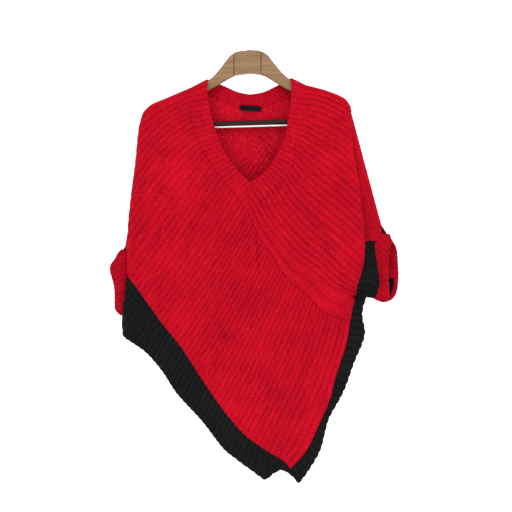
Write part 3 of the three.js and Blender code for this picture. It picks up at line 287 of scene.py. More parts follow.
# Hanger sizes in millimetres
HOOK_WIRE = 1.9
HOOK_RING = 22.1
HOOK_ANGLES = (172, 150, 125, 100, 75, 50, 25, 0, -25, -48)
HOOK_NECK = [(5.5, -43), (0.8, -52), (0, -64), (0, -90)]
HOOK_SPACING = 1.2
BAR = {"radius": 6, "half_length": 197.7, "z": -263.9, "tilt": math.radians(1.65), "rounding": 1.2}
STRIP = {"height": 3.2, "width": 7, "drop": 8, "rounding": 0.7}
BEVEL = {"segments": 3, "profile": 0.5, "affect": "EDGES", "material": -1, "clamp_overlap": True}
LABEL = {
    "left": -23, "right": 26, "top": -219, "bottom": -231.5, "tilt": 0.07, "inward": 4.1, "thickness": 0.6,
    "hem_height": 0.5, "hem_inset": 2,
}

# Stage sizes in metres: the backdrop's profile, and the place, share of power and size of each light
BACKDROP = [(0, -1.35), (4.2, -1.35), (4.9, -1.15), (5.3, -0.7), (5.4, 0.0), (5.4, 4.5)]
LIGHTS = {
    "key": ((-1.6, -2.6, 1.5), 1.0, 1.6),
    "fill": ((2.0, -2.4, 0.4), 0.45, 1.8),
    "rim": ((0.6, 2.8, 1.6), 0.6, 1.6),
}
LIGHT_AIM = (0, 0, -0.55)
CAMERA_PLACE = (0.0141, -2.34, -0.5767)
CAMERA_LENS = 70
CAMERA_SENSOR = 36

# Yarns as a face shows them: colour, brightness, share of it in the valleys' painted shade, flecks and their
# share, sheen; the brightness paints light on the inside face and shade on the turned-up cuffs
RED_SHEEN = (1.0, 0.05, 0.08)
YARNS = {
    "red yarn": ("red", 1, 0.6, (0.57, 0.010, 0.026), 0.34, RED_SHEEN),
    # The back's inner face: a lighter copy of the red yarn with paler valleys, painted light
    "red yarn inside": ("red", 1.12, 0.8, (0.66, 0.014, 0.034), 0.4, RED_SHEEN),
    # The turned-up cuffs: a darker copy of the red yarn with deeper valleys, painted shade
    "red yarn turned up": ("red", 0.84, 0.5, (0.46, 0.009, 0.022), 0.34, RED_SHEEN),
    "charcoal yarn": ("charcoal", 1, 0.4, (0.016, 0.0175, 0.018), 0.3, (0.4, 0.4, 0.4)),
}


def hermite(s, start, end, leave, arrive):
    """A curve from start to end that leaves and arrives with given slopes."""
    return (
        (2 * s**3 - 3 * s**2 + 1) * start + (s**3 - 2 * s**2 + s) * leave
        + (3 * s**2 - 2 * s**3) * end + (s**3 - s**2) * arrive
    )


def smooth_line(rows, spacing=4.0):
    """A centripetal curve through the rows, as evenly spaced points."""
    knots = np.array(rows, float)
    ends = np.vstack([2 * knots[0] - knots[1], knots, 2 * knots[-1] - knots[-2]])
    s = np.linspace(0, 1, CURVE_STEPS, endpoint=False)[:, None]
    parts = []
    for a, b, c, d in zip(ends, ends[1:], ends[2:], ends[3:]):
        before, middle, after = (math.dist(p, q) ** 0.5 for p, q in ((a, b), (b, c), (c, d)))
        leave = ((b - a) / before - (c - a) / (before + middle) + (c - b) / middle) * middle
        arrive = ((c - b) / middle - (d - b) / (middle + after) + (d - c) / after) * middle
        parts.append(hermite(s, b, c, leave, arrive))
    line = np.vstack([*parts, knots[-1:]])
    steps = max(1, math.ceil(line_length(line) / spacing))
    return along(line, np.linspace(0, 1, steps + 1))


def line_length(line):
    """Length of a line of points."""
    return float(np.linalg.norm(np.diff(line, axis=0), axis=1).sum())


def along(line, shares):
    """Points at shares of a line's length."""
    steps = np.linalg.norm(np.diff(line, axis=0), axis=1)
    reach = np.concatenate([[0], np.cumsum(steps)])
    at = np.asarray(shares, float) * reach[-1]
    return np.stack([np.interp(at, reach, line[:, k]) for k in range(line.shape[1])], axis=-1)


def along_chain(ribs, stretches):
    """Points at rib numbers along stretches, each a line and its number of ribs."""
    points = np.empty((len(ribs), 2))
    start = 0.0
    for line, count in stretches:
        inside = (ribs >= start - 1e-6) & (ribs <= start + count + 1e-6)
        points[inside] = along(line, (ribs[inside] - start) / count)
        start += count
    return points


def smooth_step(value, low, high):
    """A soft step from 0 at low to 1 at high."""
    t = np.clip((value - low) / (high - low), 0, 1)
    return t * t * (3 - 2 * t)


def distance_to(lines, x, z):
    """Distance from points to the nearest of several lines."""
    nearest = np.full(x.shape, np.inf)
    for line in lines:
        for (ax, az), (bx, bz) in zip(line, line[1:]):
            dx, dz = bx - ax, bz - az
            share = np.clip(((x - ax) * dx + (z - az) * dz) / max(dx * dx + dz * dz, 1e-9), 0, 1)
            nearest = np.minimum(nearest, np.hypot(x - ax - share * dx, z - az - share * dz))
    return nearest


def rounding(distance, radius):
    """A quarter-round rise from a fold."""
    t = np.minimum(distance, radius) / radius
    return np.sqrt(1 - (1 - t) ** 2)


def relief_of(folds, x, z):
    """How far folds or creases lift the cloth."""
    total = np.zeros(x.shape)
    for top_x, top_z, foot_x, foot_z, width, rise in folds:
        dx, dz = foot_x - top_x, foot_z - top_z
        share = ((x - top_x) * dx + (z - top_z) * dz) / (dx * dx + dz * dz)
        held = np.clip(share, 0, 1)
        beside = np.hypot(x - top_x - held * dx, z - top_z - held * dz)
        fade = smooth_step(share, *FOLD_STARTS) * (1 - smooth_step(share, *FOLD_ENDS))
        total += rise * fade * np.exp(-((beside / width) ** 2))
    return total


def unevenness(x, z):
    """The slight waviness of hand-knitted cloth, its waves some decimetres long."""
    return 0.5 * np.sin(x / 31 + z / 57) * np.sin(z / 43 - x / 61 + 1.3) + 0.35 * np.sin(x / 17 - z / 23)


def fold_line(start, *stretches):
    """Where the body is folded on one side, from the neckband's edge down."""
    return np.vstack([start, *(smooth_line(rows) for rows in stretches)])


FOLD_LINES = [
    fold_line(NECK_EDGE_LEFT[0], SHOULDER_LEFT, SIDE_LEFT, BAND_SIDE_LEFT),
    fold_line(NECK_EDGE_RIGHT[0], SHOULDER_RIGHT, SIDE_RIGHT, SIDE_BAND_TOP),
]
for sleeve in SLEEVES.values():
    first = sleeve["ribs"][0]
    sleeve["folds"] = [
        np.array([first[:2], first[2:], sleeve["outer_end"][0]], float),
        np.array([sleeve["inner_end"][-1], sleeve["outer_end"][-1]], float),
    ]


def armhole_depth(x, z):
    """Half-depth of the body's edge, open round the sleeves and closed elsewhere."""
    depth = np.zeros(x.shape)
    for sleeve, sign in ((SLEEVES["right"], 1), (SLEEVES["left"], -1)):
        for down in ARMHOLE_DOWN:
            for across in (0, -sign * ARMHOLE_ACROSS):
                u, v = x + across, z + down
                inside = (v <= sleeve["fold_top"]) & (v >= sleeve["fold_foot"]) & (x * sign > 0)
                rise = rounding(distance_to(sleeve["folds"], u, v), SLEEVE_ROUNDING)
                depth = np.maximum(depth, np.where(inside, SLEEVE_HALF_DEPTH * rise, 0))
        closed = (x * sign > 0) & (z < sleeve["fold_foot"] - 2)
        depth = np.where(closed, 0, depth)
    return np.where(depth > 0, depth + SLEEVE_RIB_RISE + SEAM_GAP, 0)


def body_points(side, plan):
    """The body's cloth over a flat plan of x and z, and which of its points lie on a fold."""
    x, z = plan[..., 0], plan[..., 1]
    distance = distance_to(FOLD_LINES, x, z)
    edge = np.where(distance < EDGE_ROUNDING, armhole_depth(x, z), 0)
    rows = np.array(BODY_DEPTH, float)
    folds = FRONT_FOLDS if side == FRONT else BACK_FOLDS
    creases = FRONT_CREASES if side == FRONT else BACK_CREASES
    full = np.interp(z, rows[:, 0], rows[:, 1]) + relief_of(folds, x, z)
    full += relief_of(creases, x, z) + unevenness(x, z)
    depth = edge + (full - edge) * rounding(distance, EDGE_ROUNDING)
    return np.stack([x, side * depth, z], axis=-1), distance < ON_FOLD


def sleeve_points(sleeve, side, plan):
    """A sleeve's cloth over a flat plan of x and z, and which of its points lie on a fold."""
    x, z = plan[..., 0], plan[..., 1]
    distance = distance_to(sleeve["folds"], x, z)
    depth = SLEEVE_HALF_DEPTH * rounding(distance, SLEEVE_ROUNDING)
    return np.stack([x, side * depth, z], axis=-1), distance < ON_FOLD


def unit(vectors):
    """Vectors brought to length one."""
    return vectors / np.maximum(np.linalg.norm(vectors, axis=-1, keepdims=True), 1e-9)


def grid_normals(points, wrap=False):
    """Directions across a grid of points."""
    across, down = np.gradient(points, axis=1), np.gradient(points, axis=0)
    if wrap:
        across[:, 0] = across[:, -1] = (points[:, 1] - points[:, -2]) / 2
    return unit(np.cross(across, down))


def surface_normals(points, wrap=False):
    """Directions across a grid of points, turned away from the garment's middle plane."""
    normals = grid_normals(points, wrap)
    turn = 1 if np.sum(normals[..., 1] * points[..., 1]) > 0 else -1
    return normals * turn, turn


def rib_profile(ribs):
    """A full round rib between narrow valleys, 0 to 1."""
    return np.abs(np.sin(np.pi * ribs)) ** RIB_FULLNESS


def run_down(points):
    """Length of cloth down each column of a grid."""
    steps = np.linalg.norm(np.diff(points, axis=0), axis=-1)
    return np.vstack([np.zeros(points.shape[1]), np.cumsum(steps, axis=0)])


def stitch_places(points, ribs):
    """The knit map: rib number across, stitches along each rib."""
    run = run_down(points) / STITCH
    return np.stack([np.broadcast_to(ribs, run.shape), run], axis=-1)


def mesh_of(bm, name):
    """A mesh made of a finished bmesh."""
    mesh = bpy.data.meshes.new(name)
    bm.to_mesh(mesh)
    bm.free()
    return mesh


def grid_mesh(name, points, knit_map, turn, wrap=False):
    """A mesh grid moved onto points given in millimetres, with its knit map."""
    if turn < 0:
        points, knit_map = points[:, ::-1], knit_map[:, ::-1]
    rows, columns = points.shape[:2]
    bm = bmesh.new()
    bmesh.ops.create_grid(bm, x_segments=columns - 1, y_segments=rows - 1, size=1)
    mesh = mesh_of(bm, name)
    mesh.vertices.foreach_set("co", (points.reshape(-1, 3) * MM).astype(np.float32).ravel())
    corners = np.zeros(len(mesh.loops), np.int32)
    mesh.loops.foreach_get("vertex_index", corners)
    layer = mesh.uv_layers.new(name="knit")
    layer.data.foreach_set("uv", knit_map.reshape(-1, 2)[corners].astype(np.float32).ravel())
    if wrap:
        bm = bmesh.new()
        bm.from_mesh(mesh)
        bmesh.ops.remove_doubles(bm, verts=bm.verts, dist=WELD)
        bm.to_mesh(mesh)
        bm.free()
    mesh.shade_smooth()
    mesh.update()
    return mesh


def new_piece(name, mesh, material):
    """Links a finished mesh as a piece that stands for the node of its name."""
    piece = bpy.data.objects.new(f"{name}_piece", mesh)
    bpy.context.scene.collection.objects.link(piece)
    mesh.materials.append(material)
    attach(piece, "root")
    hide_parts(name)
    return piece


def line_inside(piece, material):
    """Gives the wall's inner face its own material; the back panels get a lighter copy of the red yarn there,
    as painted light.
    """
    piece.data.materials.append(material)
    piece.modifiers["cloth thickness"].material_offset = 1


def thicken(piece, thickness):
    """Cloth thickness, inwards from the outer face."""
    shell = piece.modifiers.new("cloth thickness", "SOLIDIFY")
    shell.thickness = thickness
    shell.offset = -1
    shell.use_even_offset = False


def raised_ribs(points, on_fold, lift, wrap=False):
    """The plain form moved out by lift; on a fold it moves in the garment's middle plane."""
    normals, turn = surface_normals(points, wrap)
    normals[on_fold, 1] = 0
    normals = unit(normals)
    return points + normals * lift[..., None], turn


def knitted(name, points, ribs, on_fold, lift, material, wrap=False):
    """One knitted piece from its plain form, with its ribs raised by lift."""
    raised, turn = raised_ribs(points, on_fold, lift, wrap)
    mesh = grid_mesh(name, raised, stitch_places(points, ribs), turn, wrap)
    piece = new_piece(name, mesh, material)
    thicken(piece, bpy.context.scene.sweater_knit.thickness)
    return piece


def seam_trough(points):
    """1 over the cloth, falling towards the seam at a grid's start."""
    return TROUGH_FLOOR + (1 - TROUGH_FLOOR) * smooth_step(run_down(points), 0, SEAM_TROUGH)


def panel_plan(ribs, tops, feet, directions, crowd, first, last, last_blend=EDGE_BLEND):
    """Flat plan of a panel: columns along its ribs, leaving and arriving in given directions."""
    turn = np.array(directions, float)
    share_of = ribs / ribs[-1] * turn[-1, 0]
    start = np.radians(np.interp(share_of, turn[:, 0], turn[:, 1]))
    end = np.radians(np.interp(share_of, turn[:, 0], turn[:, 2]))
    v = np.linspace(0, 1, PANEL_ROWS + 1)[:, None]
    length = np.linalg.norm(feet - tops, axis=1)[None, :]
    reach = CROWD_REACH * np.minimum(1, CROWD_LIMIT * length / CROWD_REACH) / length
    left = 1 - v
    crowded = reach * (left / CROWD_SHARE) ** CROWD_POWER
    even = reach + (1 - reach) * (left - CROWD_SHARE) / (1 - CROWD_SHARE)
    share = v + (1 - np.where(left < CROWD_SHARE, crowded, even) - v) * crowd

    def rib_line(i, s):
        """The course of column i, at shares s of its length."""
        span = np.expand_dims(np.linalg.norm(feet[i] - tops[i], axis=-1), -1)
        leave, arrive = (span * np.stack([np.cos(way[i]), -np.sin(way[i])], axis=-1) for way in (start, end))
        return hermite(s[..., None], tops[i], feet[i], leave, arrive)

    plan = rib_line(np.arange(len(ribs)), share)
    for line, i, away, blend in ((first, 0, ribs, EDGE_BLEND), (last, -1, ribs[-1] - ribs, last_blend)):
        weight = np.maximum(0, 1 - away / blend) ** 2
        plan += (along(line, share) - rib_line(i, share)) * weight[None, :, None]
    return plan


def tucked(plan):
    """A short step from a panel's seam back under its neighbour."""
    step = TUCK * unit(plan[1] - plan[0])
    step[:2] = 0
    return step


def rib_numbers(count):
    """Rib numbers of a piece's columns."""
    return np.linspace(0, count, round(count * COLUMNS) + 1)


RIGHT_SIDE_LINE = np.vstack([smooth_line(SIDE_RIGHT), smooth_line(SIDE_RIGHT_FOOT)[1:]])
FOOT_START = line_length(smooth_line(SIDE_RIGHT)) / line_length(RIGHT_SIDE_LINE)
# Where the right panel's ribs reach its side: rib number, and share of the side's length
RIGHT_FEET = np.array([
    (0, 0), (3, 0.055), (5, 0.125), (9.5, 0.31), (13, 0.49), (17, 0.64), (20, 0.755), (23.5, 0.85),
    (26, FOOT_START), (28, 1),
])


def left_panel(side, material):
    """The panel on the viewer's left: its ribs start along the neckband and the mitre."""
    front = side == FRONT
    neck = smooth_line(NECK_SEAM_LEFT if front else BACK_SEAM_LEFT)
    neck_ribs = NECK_RIBS["left" if front else "back_left"]
    mitre_ribs = MITRE_RIBS["left" if front else "back_left"]
    ribs = rib_numbers(neck_ribs + mitre_ribs)
    tops = along_chain(ribs, [(neck, neck_ribs), (smooth_line(MITRE if front else BACK_MITRE), mitre_ribs)])
    hem_ribs = BAND_SIDE_RIBS + HEM_RIBS + TIP_RIBS
    feet = along_chain(ribs, [(smooth_line(SIDE_LEFT), SIDE_RIBS), (smooth_line(HEM_SEAM), hem_ribs)])
    crowd = 1 - smooth_step(ribs, SIDE_RIBS + 1, SIDE_RIBS + 5)
    shoulder, seam = smooth_line(SHOULDER_LEFT), smooth_line(RIGHT_SEAM)
    plan = panel_plan(ribs, tops, feet, LEFT_DIRECTIONS, crowd, shoulder, seam)
    plan[0] -= tucked(plan)
    points, on_fold = body_points(side, plan)
    lift = rib_lift(ribs, points) * seam_trough(points)
    lift[0] -= TUCK_DEPTH
    name = "front_left_panel" if front else "back_left_panel"
    return knitted(name, points, ribs, on_fold, lift, material)


def right_panel(side, material):
    """The panel on the viewer's right: at the back, ribs start along the mitre too."""
    front = side == FRONT
    neck = smooth_line(NECK_SEAM_RIGHT if front else BACK_SEAM_RIGHT)
    count = neck_ribs = NECK_RIBS["right" if front else "back_right"]
    stretches = [(neck, neck_ribs)]
    last = mitre = smooth_line(MITRE if front else BACK_MITRE)
    if not front:
        tail = 1 - MITRE_TAIL / line_length(mitre)
        stretches.append((along(mitre, np.linspace(0, tail, MITRE_STEPS)), MITRE_RIBS["back_right"]))
        last = along(mitre, np.linspace(tail, 1, TAIL_STEPS))
        count += MITRE_RIBS["back_right"]
    ribs = rib_numbers(count)
    feet = along(RIGHT_SIDE_LINE, np.interp(ribs / count * RIGHT_FEET[-1, 0], *RIGHT_FEET.T))
    plan = panel_plan(
        ribs, along_chain(ribs, stretches), feet, RIGHT_DIRECTIONS, np.ones(len(ribs)),
        smooth_line(SHOULDER_RIGHT), last, MITRE_BLEND if front else EDGE_BLEND,
    )
    under = (ribs > 0) & (ribs < neck_ribs)
    plan[0] -= tucked(plan) * under[:, None]
    points, on_fold = body_points(side, plan)
    lift = rib_lift(ribs, points, RIGHT_RIB_SHARE) * seam_trough(points)
    lift[0] -= TUCK_DEPTH * under
    name = "front_right_panel" if front else "back_right_panel"
    return knitted(name, points, ribs, on_fold, lift, material)


def rib_lift(ribs, points, share=1.0):
    """Height of the ribs, a little uneven from place to place."""
    rise = share * bpy.context.scene.sweater_knit.rib_rise / MM
    x, z = points[..., 0], points[..., 2]
    away = smooth_step(distance_to(FOLD_LINES, x, z), 0, FOLD_RIB_REACH)
    rise = rise * (FOLD_RIB_SHARE + (1 - FOLD_RIB_SHARE) * away)
    uneven = 1 + RIB_UNEVENNESS * np.sin(x / 23 + 2.1) * np.sin(z / 29)
    return rib_profile(ribs) * rise * uneven - RIB_SINK


def scalloped(points, ribs, size):
    """Pushes the ribs of a free edge out into scallops."""
    out = unit(points[-1] - points[-4])
    share = np.linspace(0, 1, len(points))[:, None] ** 4
    points += out[None] * (size * (rib_profile(ribs)[None, :] - SCALLOP_REST) * share)[..., None]


def rounded_edge(points):
    """Lowers the last rows of a free edge, so that it looks thick and round."""
    run = run_down(points)
    return FREE_EDGE_DROP * (1 - smooth_step(run[-1] - run, 0, FREE_EDGE_REACH))


BAND_SHARES = np.linspace(0, 1, BAND_ROWS + 1)[:, None]


def between(tops, feet, share):
    """Flat plan between two rows of places, at shares of the way."""
    return tops[None] + (feet - tops)[None] * share[..., None]


def hem_band(side, material):
    """The band along the hem, folded over with the body at the viewer's left."""
    count = BAND_SIDE_RIBS + HEM_RIBS + TIP_RIBS
    ribs = rib_numbers(count)
    tops = along(smooth_line(HEM_SEAM), ribs / count)
    feet = along_chain(ribs, [
        (smooth_line(BAND_SIDE_LEFT), BAND_SIDE_RIBS), (smooth_line(HEM_EDGE_LONG), HEM_RIBS),
        (smooth_line(HEM_EDGE_TIP), TIP_RIBS),
    ])
    folded = 1 - smooth_step(ribs, BAND_SIDE_RIBS, BAND_SIDE_RIBS + 2)
    share = BAND_SHARES + (1 - (1 - BAND_SHARES) ** HEM_FOLD_POWER - BAND_SHARES) * folded
    points, on_fold = body_points(side, between(tops, feet, share))
    free = smooth_step(ribs, BAND_SIDE_RIBS - 0.5, BAND_SIDE_RIBS + 0.5)
    lift = rib_lift(ribs, points) - rounded_edge(points) * free
    scalloped(points, ribs, SCALLOP["hem"])
    name = "hem_band_front" if side == FRONT else "hem_band_back"
    return knitted(name, points, ribs + SIDE_RIBS, on_fold, lift, material)


def side_band(side, material):
    """The narrow band up the viewer's right."""
    seam = np.vstack([smooth_line(SIDE_BAND_SEAM), smooth_line(RIGHT_SEAM)[1:]])
    ribs = rib_numbers(SIDE_BAND_RIBS)
    tops = along(seam, ribs / SIDE_BAND_RIBS)
    feet = along(smooth_line(RIGHT_EDGE), ribs / SIDE_BAND_RIBS)
    points, on_fold = body_points(side, between(tops, feet, BAND_SHARES))
    lift = rib_lift(ribs, points) * seam_trough(points) - rounded_edge(points)
    scalloped(points, ribs, SCALLOP["side"])
    name = "side_band_front" if side == FRONT else "side_band_back"
    return knitted(name, points, ribs, on_fold, lift, material)


def neckband_part(side, edge, seam, count):
    """Part of the neckband, from the shoulder on: ribs leave its edge, and in front its tip's mitre."""
    ribs = rib_numbers(count)
    edge_line, seam_line = smooth_line(edge), smooth_line(seam)
    outer = along(seam_line, ribs / count)
    if side == FRONT:
        turn = np.array(NECKBAND_TURN)
        mitre = count * (1 - turn[-1, 0])
        inner = along(edge_line, np.interp(ribs / count, turn[:, 0], turn[:, 1]))
        on_mitre = np.clip((ribs - count + mitre) / mitre, 0, 1)[:, None]
        inner += (seam_line[-1] - edge_line[-1]) * on_mitre
        free = 1 - smooth_step(ribs, count - mitre - 0.5, count - mitre + 0.5)
    else:
        inner = along(edge_line, ribs / count)
        free = 1
    points, on_fold = body_points(side, between(outer, inner, BAND_SHARES))
    points[:, 0, 1] = 0
    on_fold[:, 0] = True
    lift = rib_lift(ribs, points) * seam_trough(points) - rounded_edge(points) * free
    return ribs, points, on_fold, lift


def neckband(material):
    """One ring: down the front left, up the front right, and back over the shoulders."""
    joined = bmesh.new()
    for side, edge, seam, count in (
        (FRONT, NECK_EDGE_LEFT, NECK_SEAM_LEFT, NECK_RIBS["left"]),
        (FRONT, NECK_EDGE_RIGHT, NECK_SEAM_RIGHT, NECK_RIBS["right"]),
        (BACK, BACK_EDGE_RIGHT, BACK_SEAM_RIGHT, NECK_RIBS["back_right"]),
        (BACK, BACK_EDGE_LEFT, BACK_SEAM_LEFT, NECK_RIBS["back_left"]),
    ):
        ribs, points, on_fold, lift = neckband_part(side, edge, seam, count)
        raised, turn = raised_ribs(points, on_fold, lift)
        mesh = grid_mesh("neckband", raised, stitch_places(points, ribs), turn)
        joined.from_mesh(mesh)
        bpy.data.meshes.remove(mesh)
    bmesh.ops.remove_doubles(joined, verts=joined.verts, dist=NECK_WELD)
    mesh = mesh_of(joined, "neckband")
    mesh.shade_smooth()
    piece = new_piece("neckband", mesh, material)
    thicken(piece, bpy.context.scene.sweater_knit.thickness)
    return piece


def sleeve_cloth(name, sleeve, material):
    """Cloth folded over its top edge, its ribs running down to the sleeve band."""
    table = np.array(sleeve["ribs"], float)
    count = len(table) - 1
    ribs = np.linspace(-count, count, 2 * count * COLUMNS + 1)
    places = np.stack([np.interp(np.abs(ribs), np.arange(count + 1), table[:, k]) for k in range(4)], axis=-1)
    v = np.linspace(0, 1, SLEEVE_ROWS + 1)[:, None, None]
    reach = places[:, 2:] - places[:, :2]
    reach *= 1 + SLEEVE_OVERLAP / np.linalg.norm(reach, axis=1, keepdims=True)
    plan = places[None, :, :2] + reach[None] * v
    points, on_fold = sleeve_points(sleeve, np.sign(-ribs)[None, :], plan)
    height = SLEEVE_RIB["height"] * smooth_step(v[..., 0], *SLEEVE_RIB["starts"])
    lift = rib_profile(ribs)[None, :] * height - SLEEVE_RIB["sink"]
    return knitted(name, points, ribs, on_fold, lift, material)


def end_loop(front_places, back_places, count):
    """Evenly numbered places round a sleeve's end: front from the top fold, then the back."""
    share = np.linspace(0, 1, count // 2 + 1)
    front = along(smooth_line(front_places, 2.0), share)
    back = along(smooth_line(back_places, 2.0), share)
    sides = np.concatenate([np.full(len(share), FRONT), np.full(len(share) - 1, BACK)])
    return np.vstack([front, back[::-1][1:]]), sides


def sleeve_band(name, sleeve, material):
    """The band between a sleeve and its cuff, flatter and plain where it narrows away."""
    inner_places = [(row[2], row[3]) for row in sleeve["ribs"]] + sleeve["inner_end"]
    count = SLEEVE_BAND_RIBS * COLUMNS
    folds = [0, count // 2, count]
    inner, sides = end_loop(inner_places, inner_places, count)
    outer, _ = end_loop(sleeve["outer_end"], sleeve["outer_end"], count)
    ribs = np.linspace(0, SLEEVE_BAND_RIBS, count + 1)
    v = np.linspace(0, 1, SLEEVE_BAND_ROWS + 1)[:, None]
    points, _ = sleeve_points(sleeve, sides[None, :], between(inner, outer, v))
    points[:, folds, 1] = 0
    on_fold = np.zeros(points.shape[:2], bool)
    on_fold[:, folds] = True
    narrow = 1 - smooth_step(np.hypot(*(outer - inner).T), *NARROW_BAND_WIDTHS)
    points[..., 1] *= 1 - NARROW_BAND_SINK * narrow
    lift = (rib_profile(ribs) * SLEEVE_BAND_RIB["height"] - SLEEVE_BAND_RIB["sink"]) * (1 - narrow)
    lift = np.broadcast_to(lift, points.shape[:2])
    return knitted(name, points, ribs, on_fold, lift, material, wrap=True)


def closed_curve(points, count):
    """A smooth closed curve through points, at evenly numbered places."""
    n = len(points)
    at = np.linspace(0, n, count, endpoint=False)
    k = np.floor(at).astype(int) % n
    s = (at - np.floor(at))[:, None]
    a, b, c, d = (points[(k + shift) % n] for shift in (-1, 0, 1, 2))
    return 0.5 * (2 * b + (c - a) * s + (2 * a - 5 * b + 4 * c - d) * s**2 + (3 * b - a - 3 * c + d) * s**3)


def cuff(name, sleeve, material, deep_charcoal):
    """A turned-up cuff: double cloth, rounded at its rim, with its depth in the band's yarn."""
    out = math.copysign(1, sleeve["outer_end"][0][0])
    count = CUFF_RIBS * COLUMNS
    folds = [0, count // 2, count]
    inner, sides = end_loop(sleeve["outer_end"], sleeve["outer_end"], count)
    inner = inner + np.array([out * SEAM_GAP, -SEAM_GAP])
    start, _ = sleeve_points(sleeve, sides, inner)
    start[folds, 1] = 0
    rows = np.array(sleeve["rim"], float)
    rim_flat, _ = end_loop(rows[:, [0, 2]], rows[:, [1, 2]], count)
    middle = rows[:, 2].mean()
    level = np.clip((rim_flat[:, 1] - middle) / abs(rows[0, 2] - middle), -1, 1)
    rim = np.stack([rim_flat[:, 0], sides * RIM_HALF_DEPTH * np.sqrt(1 - level**4), rim_flat[:, 1]], axis=-1)
    rim[folds, 1] = 0
    start_level = np.clip((inner[:, 1] - inner[:, 1].mean()) / (np.ptp(inner[:, 1]) / 2), -1, 1)
    outward = [np.zeros(len(level)), sides * np.sqrt(1.02 - level**2), 0.5 * (level + start_level)]
    outward = unit(np.stack(outward, axis=-1))
    section = closed_curve(np.array(CUFF_SECTION, float), CUFF_ROWS)
    section = np.vstack([section, section[:1]])
    ribs = np.linspace(0, CUFF_RIBS, count + 1)
    share, off = section[:, 0][:, None, None], section[:, 1][:, None, None]
    waves = CUFF_CREASE["height"] * np.sin(ribs * CUFF_CREASE["waves"] + CUFF_CREASE["start"])
    creases = waves[None, :, None] * np.sin(np.pi * share)
    points = start[None] + (rim - start)[None] * share + outward[None] * (off + creases)
    ring = np.concatenate([points[:, :-1], points[:, :1]], axis=1)
    normals = grid_normals(ring)
    turn = 1 if np.sum(normals * (outward[None] * np.sign(off))) > 0 else -1
    ring = ring + normals * turn * (rib_profile(ribs)[None, :, None] * CUFF_RIB["height"] - CUFF_RIB["sink"])
    ring[-1] = ring[0]
    ring[:, -1] = ring[:, 0]
    mesh = grid_mesh(name, ring, stitch_places(ring, ribs), turn, wrap=True)
    piece = new_piece(name, mesh, material)
    mesh.materials.append(deep_charcoal)
    # Inner faces past the rim and below the set height take the charcoal yarn, so the cuff is dark low in its
    # depth
    inside = (np.arange(len(section)) > len(section) // 2) & (section[:, 0] < CUFF_DEEP_SHARE)
    first = int(np.flatnonzero(inside).min())
    columns = ring.shape[1] - 1
    for face in mesh.polygons:
        if face.index // columns >= first and face.center.z < sleeve["dark_below"] * MM:
            face.material_index = 1
    return piece


def feed(tree, made, inputs):
    """Links a node's inputs to sockets, or gives them plain values."""
    for label, value in inputs.items():
        if isinstance(value, bpy.types.NodeSocket):
            tree.links.new(value, made.inputs[label])
        else:
            made.inputs[label].default_value = value


def node(tree, kind, inputs=None, **settings):
    """A shader node with its settings and inputs."""
    made = tree.nodes.new(kind)
    for key, value in settings.items():
        setattr(made, key, value)
    feed(tree, made, inputs or {})
    return made


def math_node(tree, operation, *values):
    """The result of a math node on sockets and numbers."""
    return node(tree, "ShaderNodeMath", dict(enumerate(values)), operation=operation).outputs[0]


def mixed(tree, factor, first, second):
    """A colour mix of two sockets or colours."""
    return node(tree, "ShaderNodeMix", {0: factor, 6: first, 7: second}, data_type="RGBA").outputs[2]


def noise(tree, places, scale, detail, roughness=0.5):
    """A noise texture over given coordinates."""
    inputs = {"Vector": places, "Scale": scale, "Detail": detail, "Roughness": roughness}
    return node(tree, "ShaderNodeTexNoise", inputs).outputs["Fac"]


def bump(tree, height, strength, distance):
    """The normal of a bumpy surface."""
    inputs = {"Height": height, "Strength": strength, "Distance": distance}
    return node(tree, "ShaderNodeBump", inputs).outputs["Normal"]


def stretched(tree, places, scale):
    """Coordinates scaled along each axis."""
    return node(tree, "ShaderNodeMapping", {"Vector": places, "Scale": scale}).outputs["Vector"]


def shader_group(name, inputs):
    """A new shader group that gives a colour, a roughness and a normal, and its inputs' sockets."""
    group = bpy.data.node_groups.new(name, "ShaderNodeTree")
    outputs = {"Color": "Color", "Roughness": "Float", "Normal": "Vector"}
    for way, rows in (("INPUT", inputs), ("OUTPUT", outputs)):
        for label, kind in rows.items():
            group.interface.new_socket(name=label, in_out=way, socket_type=f"NodeSocket{kind}")
    return group, group.nodes.new("NodeGroupInput").outputs


